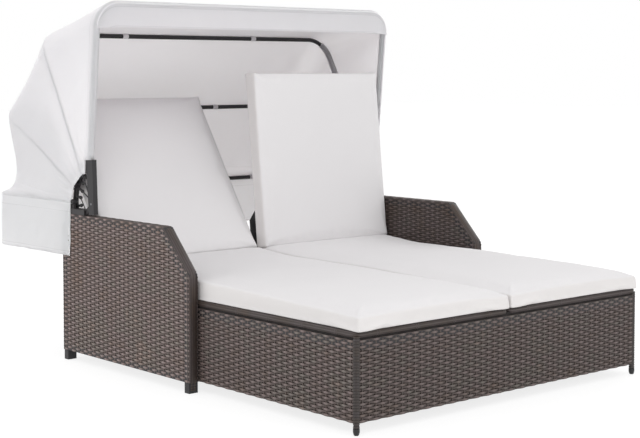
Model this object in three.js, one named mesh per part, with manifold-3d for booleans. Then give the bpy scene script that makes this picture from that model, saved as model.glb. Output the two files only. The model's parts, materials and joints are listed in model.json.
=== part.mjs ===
// Outdoor daybed for two with a folding canopy.
// Millimetres. +X runs to the right seen from the foot end, +Y to the head end, +Z up.

import * as THREE from "three";
import { mergeVertices } from "three/addons/utils/BufferGeometryUtils.js";
import Module from "manifold-3d";

const wasm = await Module();
wasm.setup();

// Whole bed
const bedWidth = 1300; // over the side skirts, and between the arms
const baseLength = 1534; // foot end to the arms' rear faces
const footLength = 757.5; // foot end to the arms' front faces
const panelClearance = 35; // floor to the underside of the woven panels
const deckHeight = 300; // top of the two seat frames
const seam = 0.3; // gap left between two pieces that touch
const overrun = 5; // how far a cut runs past its solid

// Arms
const armThickness = 40;
const armHeight = 531;
const armFrontHeight = 390.5; // top of the arm's upright front edge
const armSlopeLength = 137.5; // level length of the sloped edge
const weaveThickness = 2.5;
const armTube = 25;
const armLowRail = 20;
const frontGlideHeight = 8;
const rearGlideHeight = 30;

// Foot section: skirts, corner posts and base rails
const skirtDepth = 16;
const skirtHeight = 275; // top edge of the front and side skirts
const rearSkirtHeight = 250;
const cornerPost = 20;
const cornerGlideHeight = 20;
const glideTip = 12;
const railHeight = 26;
const crossRail = 20;
const rearRailHeight = 19;
const restPad = 20;

// Seat frames and cushions
const deckThickness = 21;
const frameBar = 20;
const edgeRound = 5;
const deckWeave = 6;
const cushionThickness = 70; // at the crown
const cushionEdge = 46; // height of a cushion's side
const cushionCorner = 26;
const cushionRound = 13;
const cushionDraw = 5; // how far the sides pull in between the corners
const cushionGap = 2;
const cushionOverhang = 8;

// Backrests
const backBay = 266; // seat frames' rear ends to the arms' rear faces
const hingeSetback = 17; // seat frames' rear ends to the backrest hinge
const hingeHeight = 290;
const hingeRod = 8;
const hingeEar = 4;
const hingeRailDepth = 20;
const hingeRailHeight = 22;
const hingeRailTop = 255;
const earClearance = 1.2;
const boreClearance = 0.3;
const backFrameLength = 712;
const backFrameThickness = 20;
const backFrameInset = 22; // side of the bay to the backrest frame
const backWeave = 5;
const backCushionStart = 72; // hinge to the cushion's lower end
const backCushionEnd = 734;
const backCushionThickness = 56;
const backCushionEdge = 46;
const leftRestAngle = 56.3;
const rightRestAngle = 83.9;

// Props and the notched racks they stand on
const propReach = 165; // backrest hinge to the prop's pivot
const propDrop = 18; // backrest frame's middle plane to the prop's pivot
const propLength = 179;
const propRod = 10;
const propEarThickness = 4;
const propEarWidth = 22;
const propFootHeight = 278;
const propBend = 14;
const rackWidth = 18;
const rackClearance = 3; // foot bar to the tops of the teeth
const rackNotch = 6;
const rackNotches = 5;

// Canopy
const pivotSetback = 194; // arms' rear faces to the canopy pivot
const pivotRise = 44; // arm tops to the canopy pivot
const bowTube = 18;
const bowWall = 1.3;
const bowCorner = 80;
const bowFoot = 122; // pivot to the lower ends of the three rear bows
const rearBowReach = 668;
const secondBowReach = 680;
const firstBowReach = 688;
const frontBowReach = 547; // post tops to the front bow's bar
const rearBowAngle = 0;
const secondBowAngle = 27.5;
const firstBowAngle = 60.5;
const postAngle = 86;
const frontBowAngle = 95.5;
const postHead = 155; // pivot to the post's top
const postFoot = 38; // pivot to the post's bottom
const postHeadWidth = 42;
const postFootWidth = 32;
const postWall = 1.5;
const postSlot = 115; // pivot to the top of the slot in the post's rear wall
const pivotBolt = 8;
const bladeThickness = 3; // flat strips that carry the bows
const bladeWidth = 12;
const bladeEye = 9;
const bladeOffset = 5.5; // blade's middle to the bow's middle plane
const bladeLap = 16;

// Pivot bracket and quadrant on each arm
const bracketRise = 20;
const bracketLength = 137;
const bracketWidth = 34;
const bracketFront = 46; // pivot to the bracket's raised rail
const tongueThickness = 3;
const tongueRadius = 12;
const saddleLength = 36;
const quadrantOuter = 152;
const quadrantInner = 128;
const quadrantThickness = 8;
const quadrantInset = 11; // arm's inner face to the quadrant
const quadrantTopAngle = 80;

// Canopy cloth
const clothThickness = 1.6;
const clothClearance = 1; // cloth to the tubes and the arms
const clothEdge = 130; // pivot to the cloth's inner edge
const frontSag = 16;
const middleSag = 8;
const rearSag = 14;
const rearCornerSag = 34;
const sidePleat = 7;
const flapFront = 126; // pivot to the rear flap's front edges
const flapDrop = 195;
const flapFlare = 6;
const flapFold = 4;
const valanceDrop = 92;
const valanceArch = 6;
const valanceFold = 4;
const leastLeanShare = 0.1;
const mostLeanShare = 0.7;
const clothLapAngle = 45; // how far the front cloth bends over its bow

// Counts
const tubeSides = 10;
const boreSides = 12;
const bendSteps = 4;
const sideSteps = 4;
const barSteps = 8;
const spanSteps = 6;
const flapBarSteps = 12;
const flapRows = 3;
const valanceColumns = 22;
const valanceRows = 3;
const cornerSteps = 3;
const shortSideSteps = 4;
const longSideSteps = 6;
const glideSides = 16;

// Places worked out from the sizes above
const halfBed = bedWidth / 2;
const armInner = halfBed;
const armOuter = halfBed + armThickness;
const seatLength = baseLength - backBay;
const hingeY = seatLength + hingeSetback;
const hingeInner = backFrameInset - earClearance - hingeEar;
const hingeOuter = halfBed - hingeInner;
const pivotY = baseLength - pivotSetback;
const pivotZ = armHeight + pivotRise;
const bowPlane = armOuter - bowTube / 2;
const clothSide = bowTube / 2 + clothClearance;
const deckUnderside = deckHeight - deckThickness;
const deckRailTop = deckUnderside - seam;
const railTop = skirtHeight - weaveThickness - seam;
const railBottom = railTop - railHeight;
const railOuter = halfBed - weaveThickness - seam;
const railInner = halfBed - skirtDepth;
const rackTop = propFootHeight - propRod / 2 - rackClearance;
const frontOfBed = -cushionOverhang;
const rearOfBed = pivotY + rearBowReach + clothSide + clothThickness + flapFlare;
const middleY = (frontOfBed + rearOfBed) / 2;
const leftAndRight = [
  { side: "left", sign: -1 },
  { side: "right", sign: 1 },
];

const wicker = () => finish("#4f4542", 0.72, 0.0);
const paintedSteel = () => finish("#47464a", 0.45, 0.55);
const blackPlastic = () => finish("#1e1e1e", 0.5, 0.0);
const greySteel = () => finish("#6d6d70", 0.42, 0.6);
const canopyCloth = () => finish("#e4e3e6", 0.9, 0.0);
const cushionCloth = () => finish("#e9e6e2", 0.92, 0.0);

const daybed = new THREE.Group();
daybed.position.set(0, -middleY, 0);

function finish(color, roughness, metalness) {
  return new THREE.MeshStandardMaterial({ color, roughness, metalness });
}

function add(name, geometry, material, parent = daybed) {
  const mesh = new THREE.Mesh(geometry, material);
  mesh.name = name;
  parent.add(mesh);
  return mesh;
}

function turnedGroup(y, z, degrees, parent = daybed) {
  const group = new THREE.Group();
  group.position.set(0, y, z);
  group.rotation.x = THREE.MathUtils.degToRad(degrees);
  parent.add(group);
  return group;
}

// Joining and cutting of closed shapes

function solid(geometry) {
  const bare = geometry.clone();
  bare.deleteAttribute("normal");
  bare.deleteAttribute("uv");
  const merged = mergeVertices(bare);
  return new wasm.Manifold(
    new wasm.Mesh({
      numProp: 3,
      vertProperties: new Float32Array(merged.attributes.position.array),
      triVerts: new Uint32Array(merged.index.array),
    }),
  );
}

function geometryOf(shape) {
  const mesh = shape.getMesh();
  const geometry = new THREE.BufferGeometry();
  geometry.setAttribute("position", new THREE.BufferAttribute(mesh.vertProperties, 3));
  geometry.setIndex(new THREE.BufferAttribute(mesh.triVerts, 1));
  return geometry;
}

function joined(first, ...others) {
  return geometryOf(others.reduce((whole, part) => whole.add(solid(part)), solid(first)));
}

function cutBy(first, ...others) {
  return geometryOf(others.reduce((whole, part) => whole.subtract(solid(part)), solid(first)));
}

// Basic shapes

function block(xs, ys, zs) {
  const size = [xs, ys, zs].map(([low, high]) => Math.abs(high - low));
  const middle = [xs, ys, zs].map(([low, high]) => (low + high) / 2);
  return new THREE.BoxGeometry(...size).translate(...middle);
}

function roundOutline(radius, sides, x = 0, y = 0) {
  const points = [];
  for (let k = 0; k < sides; k += 1) {
    const turn = (2 * Math.PI * (k + 0.5)) / sides;
    points.push(new THREE.Vector2(x + radius * Math.cos(turn), y + radius * Math.sin(turn)));
  }
  return points;
}

// An outline drawn as (Y, Z) points, made solid from one X to another
function sideProfile(outline, xs, holes = []) {
  const shape = new THREE.Shape(outline);
  shape.holes = holes.map((hole) => new THREE.Path(hole));
  const low = Math.min(...xs);
  const depth = Math.abs(xs[1] - xs[0]);
  const geometry = new THREE.ExtrudeGeometry(shape, { depth, bevelEnabled: false });
  const axes = new THREE.Matrix4().makeBasis(
    new THREE.Vector3(0, 1, 0),
    new THREE.Vector3(0, 0, 1),
    new THREE.Vector3(1, 0, 0),
  );
  return geometry.applyMatrix4(axes).translate(low, 0, 0);
}

function rodAlongX(radius, xs, y, z, sides = boreSides) {
  return sideProfile(roundOutline(radius, sides, y, z), xs);
}

function points(pairs) {
  return pairs.map(([a, b]) => new THREE.Vector2(a, b));
}

// A path that is followed from one given stop to the next
class StopPath extends THREE.Curve {
  constructor(stops) {
    super();
    this.stops = stops;
  }

  getPoint(share) {
    return this.stops[Math.round(share * (this.stops.length - 1))].clone();
  }

  getPointAt(share) {
    return this.getPoint(share);
  }

  getTangentAt(share) {
    const at = Math.round(share * (this.stops.length - 1));
    const before = this.stops[Math.max(at - 1, 0)];
    const here = this.stops[at];
    const after = this.stops[Math.min(at + 1, this.stops.length - 1)];
    const into = here.clone().sub(before).normalize();
    const out = after.clone().sub(here).normalize();
    return into.add(out).normalize();
  }
}

function tube(stops, radius, bore, sides = tubeSides) {
  const shape = new THREE.Shape(roundOutline(radius, sides));
  if (bore > 0) {
    shape.holes = [new THREE.Path(roundOutline(bore, sides).reverse())];
  }
  return new THREE.ExtrudeGeometry(shape, {
    steps: stops.length - 1,
    extrudePath: new StopPath(stops),
    bevelEnabled: false,
  });
}

// A flat ring with rounded edges, lying in X and Y
function roundedRing(xs, ys, zs, bar) {
  const ring = (inset) => {
    const [left, right] = [Math.min(...xs) + inset, Math.max(...xs) - inset];
    const [near, far] = [ys[0] + inset, ys[1] - inset];
    return points([[left, near], [right, near], [right, far], [left, far]]);
  };
  const shape = new THREE.Shape(ring(edgeRound));
  shape.holes = [new THREE.Path(ring(bar - edgeRound))];
  const geometry = new THREE.ExtrudeGeometry(shape, {
    depth: zs[1] - zs[0] - 2 * edgeRound,
    bevelEnabled: true,
    bevelThickness: edgeRound,
    bevelSize: edgeRound,
    bevelSegments: 2,
  });
  return geometry.translate(0, 0, zs[0] + edgeRound);
}

// Arms

function armOutline(inset, foot) {
  const slope = Math.atan2(armHeight - armFrontHeight, armSlopeLength);
  const front = footLength + inset;
  const rear = baseLength - inset;
  const low = armFrontHeight - inset * Math.tan(slope / 2 + Math.PI / 4) + inset * Math.tan(slope);
  const lowCorner = Math.min(low, armFrontHeight);
  const topCorner = footLength + armSlopeLength + inset * Math.tan(slope / 2);
  return points([
    [front, foot],
    [rear, foot],
    [rear, armHeight - inset],
    [topCorner, armHeight - inset],
    [front, lowCorner],
  ]);
}

function armXs(sign, inset) {
  return [sign * (armInner + inset), sign * (armOuter - inset)];
}

function makeArmWeave({ side, sign }) {
  const shell = sideProfile(armOutline(0, panelClearance), armXs(sign, 0));
  const hollowOutline = armOutline(weaveThickness, panelClearance - overrun);
  const hollow = sideProfile(hollowOutline, armXs(sign, weaveThickness));
  add(`${side}_arm_weave`, cutBy(shell, hollow), wicker());
}

function makeArmFrame({ side, sign }) {
  const skin = weaveThickness + seam;
  const outer = armOutline(skin, frontGlideHeight + seam);
  const hole = armOutline(skin + armTube, panelClearance + armLowRail);
  const front = footLength + skin;
  const rear = baseLength - skin;
  const frame = sideProfile(outer, armXs(sign, skin), [hole]);
  const between = block(
    armXs(sign, skin - overrun),
    [front + armTube, rear - armTube],
    [-overrun, panelClearance],
  );
  const rearEnd = block(
    armXs(sign, skin - overrun),
    [rear - armTube - overrun, rear + overrun],
    [-overrun, rearGlideHeight + seam],
  );
  add(`${side}_arm_frame`, cutBy(frame, between, rearEnd), paintedSteel());
}

function makeArmGlides({ side, sign }) {
  const skin = weaveThickness + seam;
  const xs = armXs(sign, skin);
  const front = footLength + skin;
  const rear = baseLength - skin;
  add(`${side}_arm_front_glide`, block(xs, [front, front + armTube], [0, frontGlideHeight]), blackPlastic());
  add(`${side}_arm_rear_glide`, block(xs, [rear - armTube, rear], [0, rearGlideHeight]), blackPlastic());
}

// Foot section

function makeCornerPost({ side, sign }) {
  const radius = cornerPost / 2;
  const height = skirtHeight - cornerGlideHeight - seam;
  const post = new THREE.CylinderGeometry(radius, radius, height, glideSides);
  post.rotateX(Math.PI / 2);
  post.translate(sign * (halfBed - radius), radius, skirtHeight - height / 2);
  add(`${side}_corner_post`, post, wicker());
}

function makeCornerGlide({ side, sign }) {
  const radius = cornerPost / 2;
  const tip = glideTip / 2;
  const profile = points([
    [0, 0],
    [tip, 0],
    [(tip + radius) / 2, cornerGlideHeight / 8],
    [radius, cornerGlideHeight / 2],
    [radius, cornerGlideHeight],
    [0, cornerGlideHeight],
  ]);
  const glide = new THREE.LatheGeometry(profile, glideSides).rotateX(Math.PI / 2);
  glide.translate(sign * (halfBed - radius), radius, 0);
  add(`${side}_corner_glide`, glide, blackPlastic());
}

// A woven skin folded over at its top and bottom, open to the inside of the bed
function channel(xs, ys, zs, openXs, openYs) {
  const shell = block(xs, ys, zs);
  const hollow = block(openXs, openYs, [zs[0] + weaveThickness, zs[1] - weaveThickness]);
  return cutBy(shell, hollow);
}

function makeFrontSkirt() {
  const end = halfBed - cornerPost - seam;
  const face = (cornerPost - skirtDepth) / 4;
  const xs = [-end, end];
  const skirt = channel(
    xs,
    [face, face + skirtDepth],
    [panelClearance, skirtHeight],
    [-end - overrun, end + overrun],
    [face + weaveThickness, face + skirtDepth + overrun],
  );
  add("front_skirt", skirt, wicker());
  const rail = block(xs, [face + weaveThickness + seam, face + skirtDepth], [railBottom, railTop]);
  add("front_rail", rail, paintedSteel());
}

function makeSideSkirt({ side, sign }) {
  const ys = [cornerPost + seam, footLength - seam];
  const skirt = channel(
    [sign * (halfBed - skirtDepth), sign * halfBed],
    ys,
    [panelClearance, skirtHeight],
    [sign * (halfBed - skirtDepth - overrun), sign * (halfBed - weaveThickness)],
    [ys[0] - overrun, ys[1] + overrun],
  );
  add(`${side}_skirt`, skirt, wicker());
  const rail = block(
    [sign * railInner, sign * railOuter],
    [ys[0], baseLength - skirtDepth - seam],
    [railBottom, railTop],
  );
  add(`${side}_rail`, rail, paintedSteel());
}

function makeRearSkirt() {
  const end = halfBed - seam;
  const ys = [baseLength - skirtDepth, baseLength];
  const skirt = channel(
    [-end, end],
    ys,
    [panelClearance, rearSkirtHeight],
    [-end - overrun, end + overrun],
    [ys[0] - overrun, ys[1] - weaveThickness],
  );
  add("rear_skirt", skirt, wicker());
}

// The rear rail lies on the skirt and has four raised ends on which the backrests lie when flat
function makeRearRail() {
  const end = halfBed - seam;
  const ys = [baseLength - skirtDepth, baseLength];
  const low = rearSkirtHeight + seam;
  const top = hingeHeight - backFrameThickness / 2 - seam;
  const pads = [];
  for (const { sign } of leftAndRight) {
    for (const from of [backFrameInset, halfBed - backFrameInset - restPad]) {
      pads.push(block([sign * from, sign * (from + restPad)], ys, [low, top]));
    }
  }
  const rail = block([-end, end], ys, [low, low + rearRailHeight]);
  add("rear_rail", joined(rail, ...pads), paintedSteel());
}

function makeCrossRail() {
  const end = railInner - seam;
  const rail = block(
    [-end, end],
    [footLength - crossRail, footLength],
    [deckRailTop - crossRail, deckRailTop],
  );
  add("cross_rail", rail, paintedSteel());
}

function makeHingeRail() {
  const end = railInner - seam;
  const near = hingeY - hingeRailDepth / 2;
  const far = hingeY + hingeRailDepth / 2;
  const rail = block([-end, end], [near, far], [hingeRailTop - hingeRailHeight, hingeRailTop]);
  const ears = [];
  const bores = [];
  for (const { sign } of leftAndRight) {
    for (const x of [hingeInner, hingeOuter - hingeEar]) {
      const xs = [sign * x, sign * (x + hingeEar)];
      ears.push(block(xs, [near, far], [hingeRailTop - overrun, hingeHeight]));
      ears.push(rodAlongX(hingeRailDepth / 2, xs, hingeY, hingeHeight));
      const boreXs = [sign * (x - overrun), sign * (x + hingeEar + overrun)];
      bores.push(rodAlongX(hingeRod / 2 + boreClearance, boreXs, hingeY, hingeHeight));
    }
  }
  add("hinge_rail", cutBy(joined(rail, ...ears), ...bores), paintedSteel());
}

function makeHingeRod({ side, sign }) {
  const xs = [sign * hingeInner, sign * hingeOuter];
  add(`${side}_hinge_rod`, rodAlongX(hingeRod / 2, xs, hingeY, hingeHeight), greySteel());
}

// Seat

function makeSeatFrame({ side, sign }) {
  const xs = [sign * seam, sign * (halfBed - seam)];
  const frame = roundedRing(xs, [0, seatLength], [deckUnderside, deckHeight], frameBar);
  add(`${side}_seat_frame`, frame, wicker());
  const lap = frameBar + seam;
  const weave = block(
    [sign * (lap + seam), sign * (halfBed - seam - lap)],
    [lap, seatLength - lap],
    [deckHeight - edgeRound - deckWeave, deckHeight - edgeRound],
  );
  add(`${side}_seat_weave`, weave, wicker());
}

// A cushion with a flat underside, sides that pull in between the corners, and a crown.
// It is centred in X and starts at Y zero, Z zero.
function cushion(width, length, thickness, edge) {
  const outline = cushionOutline(width / 2, length / 2);
  const round = cushionRound;
  const crown = thickness - edge;
  const bevelShare = 0.3;
  const crownShares = [0.3, 0.62, 0.86, 1];
  const reachShares = [0.08, 0.22, 0.5, 0.85];
  const rings = [
    [round, 0],
    [round * bevelShare, round * bevelShare],
    [0, round],
    [0, edge - round],
    [round * bevelShare, edge - round * bevelShare],
    [round, edge],
  ];
  reachShares.forEach((reach, k) => {
    rings.push([round + (width / 2 - round) * reach, edge + crown * crownShares[k]]);
  });
  const spots = [];
  for (const [inset, height] of rings) {
    for (const [x, y] of outline) {
      spots.push(x * (1 - inset / (width / 2)), y * (1 - inset / (length / 2)) + length / 2, height);
    }
  }
  const bottomCentre = spots.length / 3;
  spots.push(0, length / 2, 0, 0, length / 2, thickness);
  const count = outline.length;
  const faces = [];
  for (let k = 0; k < count; k += 1) {
    const next = (k + 1) % count;
    faces.push(bottomCentre, next, k);
    for (let ring = 0; ring < rings.length - 1; ring += 1) {
      const here = ring * count;
      const above = here + count;
      faces.push(here + k, here + next, above + next, here + k, above + next, above + k);
    }
    const last = (rings.length - 1) * count;
    faces.push(last + k, last + next, bottomCentre + 1);
  }
  return indexedGeometry(spots, faces);
}

function cushionOutline(halfWidth, halfLength) {
  const corner = cushionCorner;
  const outline = [];
  const quarters = [
    [1, 1, 0],
    [-1, 1, 1],
    [-1, -1, 2],
    [1, -1, 3],
  ];
  quarters.forEach(([sx, sy, quarter]) => {
    for (let k = 0; k <= cornerSteps; k += 1) {
      const turn = (Math.PI / 2) * (quarter + k / cornerSteps);
      outline.push([
        sx * (halfWidth - corner) + corner * Math.cos(turn),
        sy * (halfLength - corner) + corner * Math.sin(turn),
      ]);
    }
    const alongX = quarter % 2 === 0;
    const steps = alongX ? shortSideSteps : longSideSteps;
    const reach = alongX ? halfWidth - corner : halfLength - corner;
    for (let k = 1; k < steps; k += 1) {
      const along = reach * (1 - (2 * k) / steps);
      const draw = cushionDraw * Math.sin((Math.PI * k) / steps);
      outline.push(alongX ? [sx * along, sy * (halfLength - draw)] : [sx * (halfWidth - draw), sy * along]);
    }
  });
  return outline;
}

function indexedGeometry(spots, faces) {
  const geometry = new THREE.BufferGeometry();
  geometry.setAttribute("position", new THREE.Float32BufferAttribute(spots, 3));
  geometry.setIndex(faces);
  return geometry;
}

function makeSeatCushion({ side, sign }) {
  const width = halfBed - 2 * cushionGap;
  const length = seatLength + cushionOverhang - cushionGap;
  const pad = cushion(width, length, cushionThickness, cushionEdge);
  pad.translate(sign * (halfBed / 2), -cushionOverhang, deckHeight + seam);
  add(`${side}_seat_cushion`, pad, cushionCloth());
}

// Backrests: local Y runs from the hinge to the top, local Z out of the side that is leaned on

function makeBackrest({ side, sign }, angle) {
  const back = turnedGroup(hingeY, hingeHeight, angle);
  const half = backFrameThickness / 2;
  const near = backFrameInset;
  const far = halfBed - backFrameInset;
  makeBackFrame(side, sign, back, near, far);
  const lap = frameBar + seam;
  const weave = block(
    [sign * (near + lap), sign * (far - lap)],
    [-frameBar / 2 + lap, backFrameLength - lap],
    [half - edgeRound / 2 - backWeave, half - edgeRound / 2],
  );
  add(`${side}_back_weave`, weave, wicker(), back);
  const width = halfBed - 2 * cushionGap;
  const length = backCushionEnd - backCushionStart;
  const pad = cushion(width, length, backCushionThickness, backCushionEdge);
  pad.translate(sign * (halfBed / 2), backCushionStart, half + seam);
  add(`${side}_back_cushion`, pad, cushionCloth(), back);
  makeProp(side, sign, back, angle, near, far);
}

function propEarXs(near, far) {
  const inset = frameBar - propEarThickness;
  return [
    [near + inset, near + inset + propEarThickness],
    [far - inset - propEarThickness, far - inset],
  ];
}

function makeBackFrame(side, sign, back, near, far) {
  const half = backFrameThickness / 2;
  const ring = roundedRing(
    [sign * near, sign * far],
    [-frameBar / 2, backFrameLength],
    [-half, half],
    frameBar,
  );
  const ears = [];
  const bores = [];
  for (const [low, high] of propEarXs(near, far)) {
    const xs = [sign * low, sign * high];
    const ys = [propReach - propEarWidth / 2, propReach + propEarWidth / 2];
    ears.push(block(xs, ys, [-propDrop, -half + edgeRound]));
    ears.push(rodAlongX(propEarWidth / 2, xs, propReach, -propDrop));
    const boreXs = [sign * (low - overrun), sign * (high + overrun)];
    bores.push(rodAlongX(propRod / 2 + boreClearance, boreXs, propReach, -propDrop));
  }
  const hingeXs = [sign * (near - overrun), sign * (far + overrun)];
  bores.push(rodAlongX(hingeRod / 2 + boreClearance, hingeXs, 0, 0));
  add(`${side}_back_frame`, cutBy(joined(ring, ...ears), ...bores), wicker(), back);
}

// How far below level the prop points when its foot stands at the racks' height
function propAngle(angle) {
  const turn = THREE.MathUtils.degToRad(angle);
  const rise = hingeHeight + propReach * Math.sin(turn) - propDrop * Math.cos(turn) - propFootHeight;
  return THREE.MathUtils.radToDeg(Math.asin(rise / propLength));
}

// The prop is one bent rod: two stubs in the frame's ears, two legs and a foot bar
function makeProp(side, sign, back, angle, near, far) {
  const prop = turnedGroup(propReach, -propDrop, -angle - propAngle(angle), back);
  const [[low, high], [farLow, farHigh]] = propEarXs(near, far);
  const start = low - seam;
  const end = farHigh + seam;
  const leg = high + propBend + propRod;
  const farLeg = farLow - propBend - propRod;
  const bend = propBend;
  const stops = [new THREE.Vector3(start, 0, 0)];
  addBend(stops, [leg - bend, 0], [leg, bend], [leg - bend, bend]);
  addBend(stops, [leg, propLength - bend], [leg + bend, propLength], [leg + bend, propLength - bend]);
  addBend(
    stops,
    [farLeg - bend, propLength],
    [farLeg, propLength - bend],
    [farLeg - bend, propLength - bend],
  );
  addBend(stops, [farLeg, bend], [farLeg + bend, 0], [farLeg + bend, bend]);
  stops.push(new THREE.Vector3(end, 0, 0));
  const placed = sign > 0 ? stops : mirroredStops(stops);
  add(`${side}_prop`, tube(placed, propRod / 2, 0), paintedSteel(), prop);
}

// A quarter turn from one point to another about a centre, all in the X and Y plane
function addBend(stops, from, to, centre) {
  for (let k = 0; k <= bendSteps; k += 1) {
    const turn = (Math.PI / 2) * (k / bendSteps);
    const x = centre[0] + (from[0] - centre[0]) * Math.cos(turn) + (to[0] - centre[0]) * Math.sin(turn);
    const y = centre[1] + (from[1] - centre[1]) * Math.cos(turn) + (to[1] - centre[1]) * Math.sin(turn);
    stops.push(new THREE.Vector3(x, y, 0));
  }
}

function mirroredStops(stops) {
  return stops.map((stop) => new THREE.Vector3(-stop.x, stop.y, stop.z)).reverse();
}

// Y of the prop's foot bar for a backrest angle
function propFootY(angle) {
  const turn = THREE.MathUtils.degToRad(angle);
  const down = THREE.MathUtils.degToRad(propAngle(angle));
  const pivot = hingeY + propReach * Math.cos(turn) + propDrop * Math.sin(turn);
  return pivot + propLength * Math.cos(down);
}

function makeRacks({ side, sign }) {
  const near = hingeY;
  const far = baseLength - skirtDepth - seam;
  const steepest = propFootY(rightRestAngle);
  const flattest = propFootY(leftRestAngle);
  const outline = [
    [near, hingeRailTop + seam],
    [far, hingeRailTop + seam],
    [far, rackTop],
  ];
  for (let k = 0; k < rackNotches; k += 1) {
    const y = flattest + ((steepest - flattest) * k) / (rackNotches - 1);
    outline.push([y + rackNotch, rackTop], [y, rackTop - rackNotch], [y - rackNotch, rackTop]);
  }
  outline.push([near, rackTop]);
  const places = [
    ["inner", backFrameInset + frameBar + propRod + propBend * 2],
    ["outer", halfBed - backFrameInset - frameBar - propRod - propBend * 2 - rackWidth],
  ];
  for (const [place, x] of places) {
    const rack = sideProfile(points(outline), [sign * x, sign * (x + rackWidth)]);
    add(`${side}_${place}_rack`, rack, paintedSteel());
  }
}

// Canopy bows: local Y runs out from the pivot, along the bow's legs

function bowStops(foot, reach) {
  const side = bowPlane;
  const bend = bowCorner;
  const stops = [new THREE.Vector3(-side, foot, 0)];
  addBend(stops, [-side, reach - bend], [-side + bend, reach], [-side + bend, reach - bend]);
  addBend(stops, [side - bend, reach], [side, reach - bend], [side - bend, reach - bend]);
  stops.push(new THREE.Vector3(side, foot, 0));
  return stops;
}

function bowGeometry(foot, reach) {
  return tube(bowStops(foot, reach), bowTube / 2, bowTube / 2 - bowWall);
}

// The flat strips that join a bow's lower ends to the pivot bolts
function makeBladedBow(name, angle, reach, offset) {
  const bow = turnedGroup(pivotY, pivotZ, angle);
  const blades = [];
  const bores = [];
  for (const { sign } of leftAndRight) {
    const middle = sign * (bowPlane + offset);
    const xs = [middle - bladeThickness / 2, middle + bladeThickness / 2];
    blades.push(block(xs, [0, bowFoot + bladeLap], [-bladeWidth / 2, bladeWidth / 2]));
    blades.push(rodAlongX(bladeEye, xs, 0, 0));
    bores.push(rodAlongX(pivotBolt / 2 + boreClearance, [xs[0] - overrun, xs[1] + overrun], 0, 0));
  }
  const whole = cutBy(joined(bowGeometry(bowFoot, reach), ...blades), ...bores);
  add(name, whole, paintedSteel(), bow);
}

function makeRearBow() {
  const bow = turnedGroup(pivotY, pivotZ, rearBowAngle);
  add("rear_bow", bowGeometry(bowFoot, rearBowReach), paintedSteel(), bow);
}

function makeFrontBow() {
  const post = turnedGroup(pivotY, pivotZ, postAngle);
  const head = turnedGroup(postHead + seam, 0, frontBowAngle - postAngle, post);
  const leg = bowTube / 2 * Math.sin(THREE.MathUtils.degToRad(frontBowAngle - postAngle));
  add("front_bow", bowGeometry(leg, frontBowReach), paintedSteel(), head);
  leftAndRight.forEach((end) => makePost(end, post));
}

// A tapered box section that is open at both ends, with a slot low in its rear wall
function makePost({ side, sign }, parent) {
  const middle = sign * bowPlane;
  const halfDepth = bowTube / 2;
  const xs = [middle - halfDepth, middle + halfDepth];
  const innerXs = [xs[0] + postWall, xs[1] - postWall];
  const wedge = (inset, past, acrossXs) => {
    const grow = ((postHeadWidth - postFootWidth) / 2 / (postHead + postFoot)) * past;
    const foot = postFootWidth / 2 - inset - grow;
    const top = postHeadWidth / 2 - inset + grow;
    return sideProfile(
      points([
        [-postFoot - past, -foot],
        [postHead + past, -top],
        [postHead + past, top],
        [-postFoot - past, foot],
      ]),
      acrossXs,
    );
  };
  const slot = block(innerXs, [-postFoot - overrun, postSlot], [-postHeadWidth, 0]);
  const bore = rodAlongX(
    pivotBolt / 2 + boreClearance,
    [xs[0] - overrun, xs[1] + overrun],
    0,
    0,
  );
  const post = cutBy(wedge(0, 0, xs), wedge(postWall, overrun, innerXs), slot, bore);
  add(`${side}_post`, post, paintedSteel(), parent);
}

// What carries the canopy on each arm

function makePivotBracket({ side, sign }) {
  const top = armHeight + bracketRise;
  const near = pivotY + bracketFront;
  const rail = block(
    [sign * (armOuter - bracketWidth), sign * (armOuter - seam)],
    [near, near + bracketLength],
    [armHeight + seam, top],
  );
  const tongueXs = [sign * (bowPlane - tongueThickness / 2), sign * (bowPlane + tongueThickness / 2)];
  const tongue = sideProfile(
    points([
      [pivotY, pivotZ - tongueRadius],
      [near, armHeight + seam],
      [near + overrun, armHeight + seam],
      [near + overrun, top],
      [near, top],
      [pivotY, pivotZ + tongueRadius],
    ]),
    tongueXs,
  );
  const eye = rodAlongX(tongueRadius, tongueXs, pivotY, pivotZ);
  const bore = rodAlongX(
    pivotBolt / 2 + boreClearance,
    [tongueXs[0] - sign * overrun, tongueXs[1] + sign * overrun],
    pivotY,
    pivotZ,
  );
  const saddle = block(
    [sign * (bowPlane - bowTube / 4), sign * (bowPlane + bowTube / 4)],
    [pivotY + bowFoot, pivotY + bowFoot + saddleLength],
    [top - overrun, pivotZ - bowTube / 2 - seam],
  );
  add(`${side}_pivot_bracket`, cutBy(joined(rail, tongue, eye, saddle), bore), greySteel());
}

function makePivotBolt({ side, sign }) {
  const half = bowTube / 2 - seam;
  const xs = [sign * bowPlane - half, sign * bowPlane + half];
  add(`${side}_pivot_bolt`, rodAlongX(pivotBolt / 2, xs, pivotY, pivotZ), greySteel());
}

function makeQuadrant({ side, sign }) {
  const floor = armHeight + bracketRise + seam - pivotZ;
  const top = THREE.MathUtils.degToRad(quadrantTopAngle);
  const arc = (radius) => {
    const start = Math.asin(floor / radius);
    const spots = [];
    for (let k = 0; k <= barSteps; k += 1) {
      const turn = start + ((top - start) * k) / barSteps;
      spots.push([pivotY + radius * Math.cos(turn), pivotZ + radius * Math.sin(turn)]);
    }
    return spots;
  };
  const outline = points([...arc(quadrantOuter), ...arc(quadrantInner).reverse()]);
  const from = armInner + quadrantInset;
  const plate = sideProfile(outline, [sign * from, sign * (from + quadrantThickness)]);
  add(`${side}_quadrant`, plate, blackPlastic());
}

// Canopy cloth. A bow's line is a list of points (x, reach) just outside the tube:
// up one side, round the corner, along the bar and down the other side.

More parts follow.
